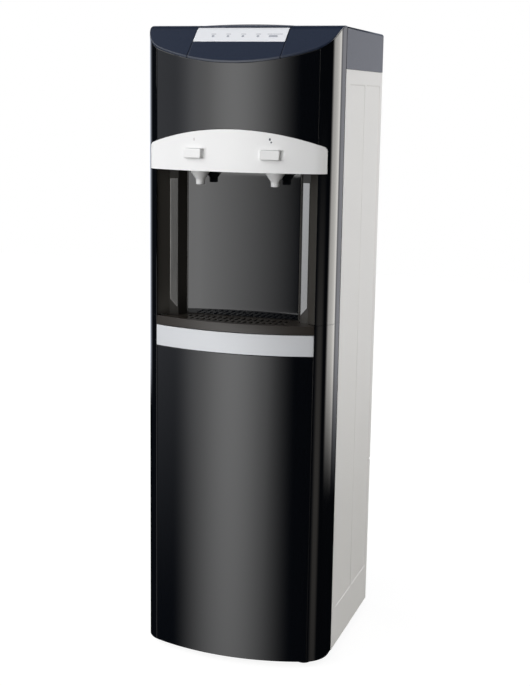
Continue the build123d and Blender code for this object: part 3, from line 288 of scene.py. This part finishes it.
def makeGlossBlackAbs(settings):
    material, tree, shader, place = startMaterial(
        "glossBlackAbs", {"IOR": 1.53, "Base Color": toLinear(settings["colour"])})
    haze = addNode(tree, "ShaderNodeTexNoise",
                   inputs={"Vector": place, "Scale": 1 / settings["haze"], "Detail": 3.0})
    rough = addNode(tree, "ShaderNodeMapRange",
                    inputs={"Value": haze.outputs["Fac"],
                            "To Min": settings["roughness"] * settings["clearest"],
                            "To Max": settings["roughness"] * settings["haziest"]})
    tree.links.new(rough.outputs[0], shader.inputs["Roughness"])
    wave = addNode(tree, "ShaderNodeTexNoise",
                   inputs={"Vector": place, "Scale": 1 / settings["wave"], "Detail": 0.0})
    bump = addNode(tree, "ShaderNodeBump",
                   inputs={"Height": wave.outputs["Fac"], "Distance": settings["waveDepth"]})
    tree.links.new(bump.outputs[0], shader.inputs["Normal"])
    return material


materials["glossBlackAbs"] = makeGlossBlackAbs(glossBlack)

# moulded plastics with a fine spark-eroded grain: its height and width set how dull the skin looks
plastics = {
    # dark blue ABS with a satin skin
    "satinNavyAbs": {"colour": "#1f283a", "colourTo": "#222b3d", "roughness": 0.28,
                     "grain": 0.9 * mm, "grainDepth": 0.004 * mm},
    # white ABS with a polished skin
    "polishedWhiteAbs": {"colour": "#f3f3f3", "colourTo": "#f5f5f4", "roughness": 0.24,
                         "grain": 1.2 * mm, "grainDepth": 0.002 * mm},
    # dark grey ABS, semi-gloss, of the recess liner and the web of the door
    "semiGlossBlackAbs": {"colour": "#33312e", "colourTo": "#373532", "roughness": 0.2,
                          "grain": 1.0 * mm, "grainDepth": 0.003 * mm},
    # the same plastic in a warm black, a little duller, for the drip tray and its grille
    "trayBlackAbs": {"colour": "#2c2824", "colourTo": "#322d28", "roughness": 0.3,
                     "grain": 1.0 * mm, "grainDepth": 0.004 * mm},
    # grained black plastic of the rear grille and sockets
    "grainedBlackPlastic": {"colour": "#131416", "colourTo": "#18191b", "roughness": 0.5,
                            "grain": 0.7 * mm, "grainDepth": 0.03 * mm},
    # uncoloured polypropylene, milky and a little soft
    "naturalPolypropylene": {"colour": "#d9dbd7", "colourTo": "#cfd2cf", "roughness": 0.36,
                             "grain": 1.0 * mm, "grainDepth": 0.01 * mm},
    # white polypropylene of the filter shells
    "whitePolypropylene": {"colour": "#e4e6e8", "colourTo": "#dfe2e5", "roughness": 0.28,
                           "grain": 1.0 * mm, "grainDepth": 0.006 * mm},
    # milky polyethylene water tube
    "milkyTube": {"colour": "#dfe6e8", "colourTo": "#d5dee2", "roughness": 0.25,
                  "grain": 2.0 * mm, "grainDepth": 0.002 * mm},
    # red and green polycarbonate rockers
    "redRocker": {"colour": "#a3140d", "colourTo": "#ab1810", "roughness": 0.22,
                  "grain": 0.8 * mm, "grainDepth": 0.002 * mm},
    "greenRocker": {"colour": "#0c6a35", "colourTo": "#0f7039", "roughness": 0.22,
                    "grain": 0.8 * mm, "grainDepth": 0.002 * mm},
    # matt printed polycarbonate film of the control label
    "printedFilm": {"colour": "#f2f3f6", "colourTo": "#eff1f5", "roughness": 0.3,
                    "grain": 0.5 * mm, "grainDepth": 0.003 * mm},
    # grey screen ink
    "screenInk": {"colour": "#9a9da5", "colourTo": "#a0a3ab", "roughness": 0.45,
                  "grain": 0.4 * mm, "grainDepth": 0.002 * mm},
    # blue-black screen ink of the mark over the cold tap, and the pale one over the hot tap
    "darkInk": {"colour": "#4a4e5a", "colourTo": "#525661", "roughness": 0.45,
                "grain": 0.4 * mm, "grainDepth": 0.002 * mm},
    "paleInk": {"colour": "#d6d3d3", "colourTo": "#dad7d7", "roughness": 0.45,
                "grain": 0.4 * mm, "grainDepth": 0.002 * mm},
    # blue acetal of the push-fit collets
    "blueAcetal": {"colour": "#24548f", "colourTo": "#2a5c98", "roughness": 0.3,
                   "grain": 0.8 * mm, "grainDepth": 0.003 * mm},
    # glossy paper of the blank bands on the filters, white with a blue stripe
    "bandPaper": {"colour": "#eef0f1", "colourTo": "#e9ecee", "roughness": 0.32,
                  "grain": 0.5 * mm, "grainDepth": 0.002 * mm},
    "bandBlue": {"colour": "#2c6ca8", "colourTo": "#3274b0", "roughness": 0.32,
                 "grain": 0.5 * mm, "grainDepth": 0.002 * mm},
    # smoky lens over each indicator
    "indicatorLens": {"colour": "#b2b5bd", "colourTo": "#b9bcc4", "roughness": 0.12,
                      "grain": 0.6 * mm, "grainDepth": 0.001 * mm},
    # moulded nitrile rubber
    "nitrileRubber": {"colour": "#101011", "colourTo": "#151516", "roughness": 0.72,
                      "grain": 0.6 * mm, "grainDepth": 0.03 * mm},
}


# the length over which the colour of a moulded skin drifts, and how far its roughness strays
plasticSkin = {"cloud": 90 * mm, "smoother": 0.04, "rougher": 0.06}


def makeMouldedPlastic(name, settings):
    material, tree, shader, place = startMaterial(name, {"IOR": 1.5})
    shade = addNode(tree, "ShaderNodeTexNoise",
                    inputs={"Vector": place, "Scale": 1 / plasticSkin["cloud"], "Detail": 4.0})
    tint = addNode(tree, "ShaderNodeMix", {"data_type": "RGBA"},
                   {0: shade.outputs["Fac"], 6: toLinear(settings["colour"]),
                    7: toLinear(settings["colourTo"])})
    tree.links.new(tint.outputs[2], shader.inputs["Base Color"])
    grain = addNode(tree, "ShaderNodeTexNoise",
                    inputs={"Vector": place, "Scale": 1 / settings["grain"], "Detail": 2.0})
    rough = addNode(tree, "ShaderNodeMapRange",
                    inputs={"Value": grain.outputs["Fac"],
                            "To Min": settings["roughness"] - plasticSkin["smoother"],
                            "To Max": settings["roughness"] + plasticSkin["rougher"]})
    tree.links.new(rough.outputs[0], shader.inputs["Roughness"])
    bump = addNode(tree, "ShaderNodeBump",
                   inputs={"Height": grain.outputs["Fac"], "Distance": settings["grainDepth"]})
    tree.links.new(bump.outputs[0], shader.inputs["Normal"])
    return material


for plasticName, plasticSet in plastics.items():
    materials[plasticName] = makeMouldedPlastic(plasticName, plasticSet)

# painted steel sheet and castings: the orange peel of the coat
coatedSteels = {
    # off-white powder coat with a fine orange peel
    "powderCoatWhite": {"colour": "#e3e3e2", "colourTo": "#e6e6e5", "roughness": 0.36,
                        "peel": 1.6 * mm, "peelDepth": 0.01 * mm},
    # satin black stoved enamel
    "blackEnamel": {"colour": "#0e0f11", "colourTo": "#141517", "roughness": 0.34,
                    "peel": 1.4 * mm, "peelDepth": 0.02 * mm},
}


coatSkin = {"cloud": 140 * mm, "smoother": 0.03, "rougher": 0.05}


def makeCoatedSteel(name, settings):
    material, tree, shader, place = startMaterial(name, {"IOR": 1.5})
    cloud = addNode(tree, "ShaderNodeTexNoise",
                    inputs={"Vector": place, "Scale": 1 / coatSkin["cloud"], "Detail": 5.0})
    tint = addNode(tree, "ShaderNodeMix", {"data_type": "RGBA"},
                   {0: cloud.outputs["Fac"], 6: toLinear(settings["colour"]),
                    7: toLinear(settings["colourTo"])})
    tree.links.new(tint.outputs[2], shader.inputs["Base Color"])
    peel = addNode(tree, "ShaderNodeTexNoise",
                   inputs={"Vector": place, "Scale": 1 / settings["peel"], "Detail": 1.0})
    rough = addNode(tree, "ShaderNodeMapRange",
                    inputs={"Value": cloud.outputs["Fac"],
                            "To Min": settings["roughness"] - coatSkin["smoother"],
                            "To Max": settings["roughness"] + coatSkin["rougher"]})
    tree.links.new(rough.outputs[0], shader.inputs["Roughness"])
    bump = addNode(tree, "ShaderNodeBump",
                   inputs={"Height": peel.outputs["Fac"], "Distance": settings["peelDepth"]})
    tree.links.new(bump.outputs[0], shader.inputs["Normal"])
    return material


for steelName, steelSet in coatedSteels.items():
    materials[steelName] = makeCoatedSteel(steelName, steelSet)

# hot-dip galvanised sheet: interlocking crystals of zinc, each a little lighter or darker
galvanised = {"colour": "#8f9294", "colourTo": "#a9acad", "spangle": 9 * mm, "roughness": 0.36,
              "smoother": 0.06, "rougher": 0.12}


def makeGalvanised(settings):
    material, tree, shader, place = startMaterial("galvanisedSheet", {"Metallic": 1.0})
    cells = addNode(tree, "ShaderNodeTexVoronoi",
                    inputs={"Vector": place, "Scale": 1 / settings["spangle"]})
    pick = addNode(tree, "ShaderNodeSeparateColor", inputs={0: cells.outputs["Color"]})
    tint = addNode(tree, "ShaderNodeMix", {"data_type": "RGBA"},
                   {0: pick.outputs[0], 6: toLinear(settings["colour"]), 7: toLinear(settings["colourTo"])})
    tree.links.new(tint.outputs[2], shader.inputs["Base Color"])
    rough = addNode(tree, "ShaderNodeMapRange",
                    inputs={"Value": pick.outputs[1],
                            "To Min": settings["roughness"] - settings["smoother"],
                            "To Max": settings["roughness"] + settings["rougher"]})
    tree.links.new(rough.outputs[0], shader.inputs["Roughness"])
    return material


materials["galvanisedSheet"] = makeGalvanised(galvanised)

# metals: fine streaks, long on one axis where it was brushed or drawn, change roughness and height
metals = {
    # silver lacquer on ABS: fine flake in a pale coat, which scatters far more than it mirrors
    "silverLacquer": {"colour": "#d4d6d9", "colourTo": "#dadcdf", "metallic": 0.2, "roughness": 0.5,
                      "streak": (0.9, 0.9, 0.9), "depth": 0.003},
    # anodised aluminium of the two trim strips, with a draw line along them
    "anodisedStrip": {"colour": "#bebdba", "colourTo": "#c4c3c0", "metallic": 0.97, "roughness": 0.19,
                      "streak": (0.8, 0.8, 30), "depth": 0.004},
    # brushed stainless steel of the tanks
    "brushedStainless": {"colour": "#b9b8b4", "colourTo": "#c7c6c2", "metallic": 1.0, "roughness": 0.28,
                         "streak": (24, 24, 0.5), "depth": 0.01},
    # drawn copper tube
    "drawnCopper": {"colour": "#b06a47", "colourTo": "#8c4f36", "metallic": 1.0, "roughness": 0.27,
                    "streak": (12, 12, 12), "depth": 0.01},
    # zinc-plated steel of pins, screws and springs
    "zincPlate": {"colour": "#b4b2ab", "colourTo": "#c6c4bb", "metallic": 1.0, "roughness": 0.33,
                  "streak": (3, 3, 3), "depth": 0.005},
}


metalSkin = {"smoother": 0.05, "rougher": 0.07}


def makeMetal(name, settings):
    material, tree, shader, place = startMaterial(name, {"Metallic": settings["metallic"]})
    scale = tuple(1 / (s * mm) for s in settings["streak"])
    stretch = addNode(tree, "ShaderNodeMapping", inputs={"Vector": place, "Scale": scale})
    streaks = addNode(tree, "ShaderNodeTexNoise",
                      inputs={"Vector": stretch.outputs[0], "Scale": 1.0, "Detail": 3.0})
    tint = addNode(tree, "ShaderNodeMix", {"data_type": "RGBA"},
                   {0: streaks.outputs["Fac"], 6: toLinear(settings["colour"]),
                    7: toLinear(settings["colourTo"])})
    tree.links.new(tint.outputs[2], shader.inputs["Base Color"])
    rough = addNode(tree, "ShaderNodeMapRange",
                    inputs={"Value": streaks.outputs["Fac"],
                            "To Min": settings["roughness"] - metalSkin["smoother"],
                            "To Max": settings["roughness"] + metalSkin["rougher"]})
    tree.links.new(rough.outputs[0], shader.inputs["Roughness"])
    bump = addNode(tree, "ShaderNodeBump",
                   inputs={"Height": streaks.outputs["Fac"], "Distance": settings["depth"] * mm})
    tree.links.new(bump.outputs[0], shader.inputs["Normal"])
    return material


for metalName, metalSet in metals.items():
    materials[metalName] = makeMetal(metalName, metalSet)

# expanded polystyrene: rounded beads pressed together, with painted shade darkening each bead towards the
# seams between beads
beadFoam = {"colour": "#e6e4dc", "shade": "#cfccc2", "bead": 4.0 * mm, "depth": 0.35 * mm,
            "roughness": 0.85}


def makeBeadFoam(settings):
    material, tree, shader, place = startMaterial(
        "beadFoam", {"Roughness": settings["roughness"], "IOR": 1.45})
    beads = addNode(tree, "ShaderNodeTexVoronoi", inputs={"Vector": place, "Scale": 1 / settings["bead"]})
    # painted shade: the colour goes from the bead colour at each bead's middle to the darker shade at its
    # seams
    tint = addNode(tree, "ShaderNodeMix", {"data_type": "RGBA"},
                   {0: beads.outputs["Distance"], 6: toLinear(settings["colour"]),
                    7: toLinear(settings["shade"])})
    tree.links.new(tint.outputs[2], shader.inputs["Base Color"])
    bump = addNode(tree, "ShaderNodeBump", {"invert": True},
                   {"Height": beads.outputs["Distance"], "Distance": settings["depth"]})
    tree.links.new(bump.outputs[0], shader.inputs["Normal"])
    return material


materials["beadFoam"] = makeBeadFoam(beadFoam)

# glass-fibre circuit board: green solder mask over lighter copper tracks
circuitBoard = {"mask": "#0e4a2a", "track": "#1f6b3e", "pitch": 5 * mm, "stray": 0.35,
                "trackEdge": (0.1, 0.16), "roughness": 0.3}


def makeCircuitBoard(settings):
    material, tree, shader, place = startMaterial(
        "solderMask", {"Roughness": settings["roughness"], "IOR": 1.5})
    cells = addNode(tree, "ShaderNodeTexVoronoi", {"feature": "DISTANCE_TO_EDGE"},
                    {"Vector": place, "Scale": 1 / settings["pitch"],
                     "Randomness": settings["stray"]})
    edge = addNode(tree, "ShaderNodeMapRange",
                   inputs={"Value": cells.outputs["Distance"], "From Min": settings["trackEdge"][0],
                           "From Max": settings["trackEdge"][1]})
    tint = addNode(tree, "ShaderNodeMix", {"data_type": "RGBA"},
                   {0: edge.outputs[0], 6: toLinear(settings["track"]), 7: toLinear(settings["mask"])})
    tree.links.new(tint.outputs[2], shader.inputs["Base Color"])
    return material


materials["solderMask"] = makeCircuitBoard(circuitBoard)
print("materials made:", len(materials))

# the curved faces as they really are: hidden walls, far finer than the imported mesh, lend it their
# normals, so that the gloss runs smoothly over its facets. All in mm, in plan.
curveSet = {
    "halfWidth": 155.0,
    "depth": 326.7,  # middle of the front to the rear edge
    "frontRadius": 361.3,
    "cornerRadius": 46.0,
    "coverStand": 1.5,  # the tap cover stands proud of the front
    "trayInset": 0.4,
    "step": 1.0,  # degrees
    "reach": 0.12,  # a corner of the mesh within this of the wall takes its normal
}
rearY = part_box("top_cover")[1].y / mm
frontY = rearY - curveSet["depth"]
arcY = frontY + curveSet["frontRadius"]


# plan of the front as (x, y, normal x, normal y): a bowed middle between two round corners
def frontPath(settings, grow):
    cornerX = settings["halfWidth"] - settings["cornerRadius"]
    run = settings["frontRadius"] - settings["cornerRadius"]
    cornerY = arcY - math.sqrt(run ** 2 - cornerX ** 2)
    lean = math.degrees(math.atan2(cornerX, arcY - cornerY))
    quarter = int(90 / settings["step"])
    turns = [i * settings["step"] for i in range(-quarter, quarter + 1)]
    path = []
    for turn in sorted(turns + [-lean, lean]):
        side, out = math.sin(math.radians(turn)), -math.cos(math.radians(turn))
        middle = (0, arcY, settings["frontRadius"])
        if abs(turn) > lean:
            middle = (math.copysign(cornerX, turn), cornerY, settings["cornerRadius"])
        radius = middle[2] + grow
        path.append((middle[0] + radius * side, middle[1] + radius * out, side, out))
    return [(path[0][0], rearY, -1, 0)] + path + [(path[-1][0], rearY, 1, 0)]


def makeGuide(name, path):
    mesh = bpy.data.meshes.new(name)
    low, high = cadBox[0].z, cadBox[1].z
    points = [(x * mm, y * mm, z) for x, y, _, _ in path for z in (low, high)]
    faces = [(2 * i, 2 * i + 2, 2 * i + 3, 2 * i + 1) for i in range(len(path) - 1)]
    mesh.from_pydata(points, [], faces)
    mesh.polygons.foreach_set("use_smooth", [True] * len(faces))
    mesh.normals_split_custom_set_from_vertices([(nx, ny, 0) for _, _, nx, ny in path for _ in range(2)])
    guide = bpy.data.objects.new(name, mesh)
    guide.hide_render = True
    scene.collection.objects.link(guide)
    return guide


guides = {
    "frontGuide": makeGuide("frontGuide", frontPath(curveSet, 0)),
    "coverGuide": makeGuide("coverGuide", frontPath(curveSet, curveSet["coverStand"])),
    "trayGuide": makeGuide("trayGuide", frontPath(curveSet, -curveSet["trayInset"])),
}
curvedFaces = {
    "frontGuide": ["front_housing", "upper_front_panel", "door_panel", "door_frame", "door_trim_band",
                   "control_fascia", "control_panel"],
    "coverGuide": ["tap_cover"],
    "trayGuide": ["drip_tray"],
}
guideOf = {node: guide for guide, nodes in curvedFaces.items() for node in nodes}

# which finish each piece of the frame has
finishes = {
    "glossBlackAbs": ["front_housing", "door_frame", "upper_front_panel", "door_panel",
                      "recess_back_plate"],
    "satinNavyAbs": ["top_cover", "control_fascia", "control_panel"],
    "printedFilm": ["control_label"],
    "indicatorLens": ["indicator_lenses"],
    "polishedWhiteAbs": ["tap_cover", "hot_button", "cold_button", "nozzles"],
    "silverLacquer": ["door_trim_band"],
    "anodisedStrip": ["recess_trim_strips"],
    "semiGlossBlackAbs": ["recess_liner", "door_backing"],
    "trayBlackAbs": ["drip_tray", "drip_grille"],
    "powderCoatWhite": ["right_side_panel", "left_side_panel"],
    "galvanisedSheet": ["base_pan", "rear_panel", "inner_frame"],
    "grainedBlackPlastic": ["rear_grille", "condenser_clips", "mains_inlet", "switch_housings",
                            "button_switches", "tap_valves", "magnetic_catch", "booster_pump"],
    "blackEnamel": ["condenser", "compressor", "transformer"],
    "nitrileRubber": ["rubber_feet", "compressor_grommets"],
    "naturalPolypropylene": ["door_liner", "filter_manifold", "tank_lid", "water_inlet_fitting",
                             "drain_plugs"],
    "whitePolypropylene": ["sediment_filter", "carbon_filter", "membrane_filter", "polishing_filter"],
    "milkyTube": ["water_tubes"],
    "brushedStainless": ["cold_tank", "hot_tank"],
    "drawnCopper": ["evaporator_coil", "refrigerant_pipes"],
    "zincPlate": ["hinge_pins", "catch_plate", "rear_screws", "button_springs"],
    "beadFoam": ["tank_insulation"],
    "solderMask": ["control_board"],
    "redRocker": ["hot_switch_rocker"],
    "greenRocker": ["cold_switch_rocker"],
}
edgeRounds = {  # width in mm of the rounded arrises of each kind of piece
    "glossBlackAbs": 0.6, "satinNavyAbs": 0.9, "polishedWhiteAbs": 1.0, "silverLacquer": 0.5,
    "semiGlossBlackAbs": 0.4, "trayBlackAbs": 0.4, "anodisedStrip": 0.3, "powderCoatWhite": 0.4,
    "naturalPolypropylene": 0.5, "grainedBlackPlastic": 0.4, "beadFoam": 1.5, "nitrileRubber": 0.8,
}
edgeSet = {
    "weld": 0.005,  # mm between corners that are one
    "segments": 2,
    "sharp": 38,  # degrees at an arris that is rounded
    "flatFirst": 100,  # large faces set the normals of the corners they share
}


def finishNode(name, material):
    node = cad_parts[name]
    node.data.materials.clear()
    node.data.materials.append(materials[material])
    node.data.polygons.foreach_set("material_index", [0] * len(node.data.polygons))
    weld = node.modifiers.new("weld", "WELD")
    weld.merge_threshold = edgeSet["weld"] * mm
    if material in edgeRounds:
        bevel = node.modifiers.new("roundedEdges", "BEVEL")
        bevel.width = edgeRounds[material] * mm
        bevel.segments = edgeSet["segments"]
        bevel.limit_method = "ANGLE"
        bevel.angle_limit = math.radians(edgeSet["sharp"])
        bevel.harden_normals = True
    if name in guideOf:
        even = node.modifiers.new("evenNormals", "WEIGHTED_NORMAL")
        even.mode = "FACE_AREA"
        even.weight = edgeSet["flatFirst"]
        even.keep_sharp = False
        smooth = node.modifiers.new("trueCurve", "DATA_TRANSFER")
        smooth.object = guides[guideOf[name]]
        smooth.use_object_transform = False  # the guide stays with the piece when that moves
        smooth.use_loop_data = True
        smooth.data_types_loops = {"CUSTOM_NORMAL"}
        smooth.loop_mapping = "POLYINTERP_NEAREST"
        smooth.use_max_distance = True
        smooth.max_distance = curveSet["reach"] * mm


for finish, names in finishes.items():
    for name in names:
        finishNode(name, finish)
print("finishes given")


# turns a built mesh into a piece that rides on its body
def placePiece(name, build, material, body):
    mesh = bpy.data.meshes.new(name)
    bmesh.ops.recalc_face_normals(build, faces=build.faces)
    build.to_mesh(mesh)
    build.free()
    piece = bpy.data.objects.new(name, mesh)
    scene.collection.objects.link(piece)
    mesh.materials.append(materials[material])
    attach(piece, body)
    return mesh


# one row of corners for each ring of points, and the wall between two rows
def addRows(build, rings):
    return [[build.verts.new(Vector(point) * mm) for point in ring] for ring in rings]


def addWall(build, lower, upper):
    count = len(lower)
    corners = [(lower[i], lower[(i + 1) % count], upper[(i + 1) % count], upper[i]) for i in range(count)]
    return [build.faces.new(corner) for corner in corners]


# a thin closed film between two outlines, lower and upper
def makeFilm(name, rings, material):
    build = bmesh.new()
    lower, upper = addRows(build, rings)
    addWall(build, lower, upper)
    build.faces.new(list(reversed(lower)))
    build.faces.new(upper)
    placePiece(name, build, material, "cabinet")


inkSet = {"height": 0.04, "sunk": 0.1}  # mm of ink above and below the surface that it is printed on

# drop-shaped marks printed on the tap cover above the taps, on its curve. All in mm
coverMarks = {
    "hotMark": {"place": (-60.0, 839.5), "size": (3.4, 5.0), "ink": "paleInk"},
    "coldMark": {"place": (61.5, 842.0), "size": (3.0, 4.4), "ink": "darkInk"},
    "coldMarkFoot": {"place": (63.6, 837.6), "size": (2.6, 2.6), "ink": "darkInk"},
}
dropShape = {"points": 28, "pinch": 0.45}  # a drop is narrow at its top


def makeCoverMark(name, settings):
    radius = curveSet["frontRadius"] + curveSet["coverStand"]
    across, tall = settings["size"]
    rings = []
    for stand in (-inkSet["sunk"], inkSet["height"]):
        ring = []
        for i in range(dropShape["points"]):
            turn = 2 * math.pi * i / dropShape["points"]
            pinch = 1 - dropShape["pinch"] * max(0.0, math.sin(turn)) ** 2
            lean = (settings["place"][0] + across / 2 * math.cos(turn) * pinch) / radius
            out = radius + stand
            height = settings["place"][1] + tall / 2 * math.sin(turn)
            ring.append((out * math.sin(lean), arcY - out * math.cos(lean), height))
        rings.append(ring)
    makeFilm(name, rings, settings["ink"])


for markName, markSet in coverMarks.items():
    makeCoverMark(markName, markSet)

# short grey bars with round ends, printed on the control label above its lenses. The last is longer
labelBars = {
    "size": (8.0, 1.1),
    "wide": 16.0,
    "rise": 5.0,  # from the middle of the lens, up the slope
    "slope": 42.3,  # degrees from level
    "apart": 6,  # corners further apart than this belong to different lenses
    "points": 20,
}


def makeLabelBars(settings):
    slope = math.radians(settings["slope"])
    upSlope = Vector((0, math.cos(slope), math.sin(slope)))
    out = Vector((0, -math.sin(slope), math.cos(slope)))
    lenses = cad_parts["indicator_lenses"]
    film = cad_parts["control_label"]
    face = max(out.dot(film.matrix_world @ v.co) for v in film.data.vertices) / mm
    corners = sorted((lenses.matrix_world @ v.co / mm for v in lenses.data.vertices), key=lambda p: p.x)
    groups = []
    for corner in corners:
        if groups and corner.x - groups[-1][-1].x < settings["apart"]:
            groups[-1].append(corner)
        else:
            groups.append([corner])
    for i, group in enumerate(groups):
        middle = sum(group, Vector()) / len(group)
        middle += out * (face - out.dot(middle)) + upSlope * settings["rise"]
        half = (settings["wide"] if i == len(groups) - 1 else settings["size"][0]) / 2
        tall = settings["size"][1] / 2
        rings = []
        for stand in (-inkSet["sunk"], inkSet["height"]):
            ring = []
            for j in range(settings["points"]):
                turn = 2 * math.pi * j / settings["points"]
                side = math.copysign(half - tall, math.cos(turn)) + tall * math.cos(turn)
                ring.append(middle + Vector((side, 0, 0)) + upSlope * (tall * math.sin(turn)) + out * stand)
            rings.append(ring)
        makeFilm("labelBar" + str(i + 1), rings, "screenInk")


makeLabelBars(labelBars)
print("marks printed")

# blank paper bands round the four filters, each with one stripe, and blue collets at their ports
filterSet = {
    "radius": 27.0, "pitch": 64.0, "depth": 81.0,
    "sunk": 0.05,  # all of them reach this far into what they sit on
    "paper": 0.15,
    "stripe": 0.2,
    "bandRun": (165.0, 325.0),  # low and high
    "stripeRun": (300.0, 312.0),
    "bandSides": 96,
    "portOffset": 9.0,
    "portTop": 480.8,
    "collet": {"bore": 3.35, "neck": 4.0, "flange": 4.7, "height": 2.6, "neckTop": 1.1,
               "flangeLow": 0.9, "chamfer": 0.25, "sides": 40},
    "crease": 40,  # degrees at an edge that stays sharp
}


# a sleeve turned from its section: (radius, height) points, closed on itself
def makeSleeve(name, x, y, section, sides, material, body):
    turns = [2 * math.pi * i / sides for i in range(sides)]
    rings = [[(x + r * math.cos(t), y + r * math.sin(t), z) for t in turns] for r, z in section]
    build = bmesh.new()
    rows = addRows(build, rings)
    for lower, upper in zip(rows, rows[1:] + rows[:1]):
        for face in addWall(build, lower, upper):
            face.smooth = True
    mesh = placePiece(name, build, material, body)
    mesh.set_sharp_from_angle(angle=math.radians(filterSet["crease"]))


# section of a plain band between two heights
def bandSection(settings, run, thick):
    inner, outer = settings["radius"] - settings["sunk"], settings["radius"] + thick
    return [(inner, run[0]), (outer, run[0]), (outer, run[1]), (inner, run[1])]


# section of a push-fit collet: a neck under a flange with a small chamfer
def colletSection(settings, collet):
    low, high = settings["portTop"] - settings["sunk"], settings["portTop"] + collet["height"]
    bore, neck, flange, chamfer = (collet[k] for k in ("bore", "neck", "flange", "chamfer"))
    return [(bore, low), (neck, low), (neck, high - collet["neckTop"]), (flange, high - collet["flangeLow"]),
            (flange, high - chamfer), (flange - chamfer, high), (bore, high)]


def makeFilterDress(settings):
    y = frontY + settings["depth"]
    band = bandSection(settings, settings["bandRun"], settings["paper"])
    stripe = bandSection(settings, settings["stripeRun"], settings["stripe"])
    collet = colletSection(settings, settings["collet"])
    sides = settings["bandSides"]
    for i, stage in enumerate(("sediment", "carbon", "membrane", "polishing")):
        x = (i - 1.5) * settings["pitch"]
        body = stage + "_cartridge"
        makeSleeve(stage + "Band", x, y, band, sides, "bandPaper", body)
        makeSleeve(stage + "Stripe", x, y, stripe, sides, "bandBlue", body)
        for side, end in ((-1, "In"), (1, "Out")):
            port = x + side * settings["portOffset"]
            makeSleeve(stage + "Collet" + end, port, y, collet, settings["collet"]["sides"],
                       "blueAcetal", "cabinet")


makeFilterDress(filterSet)
print("filters dressed")
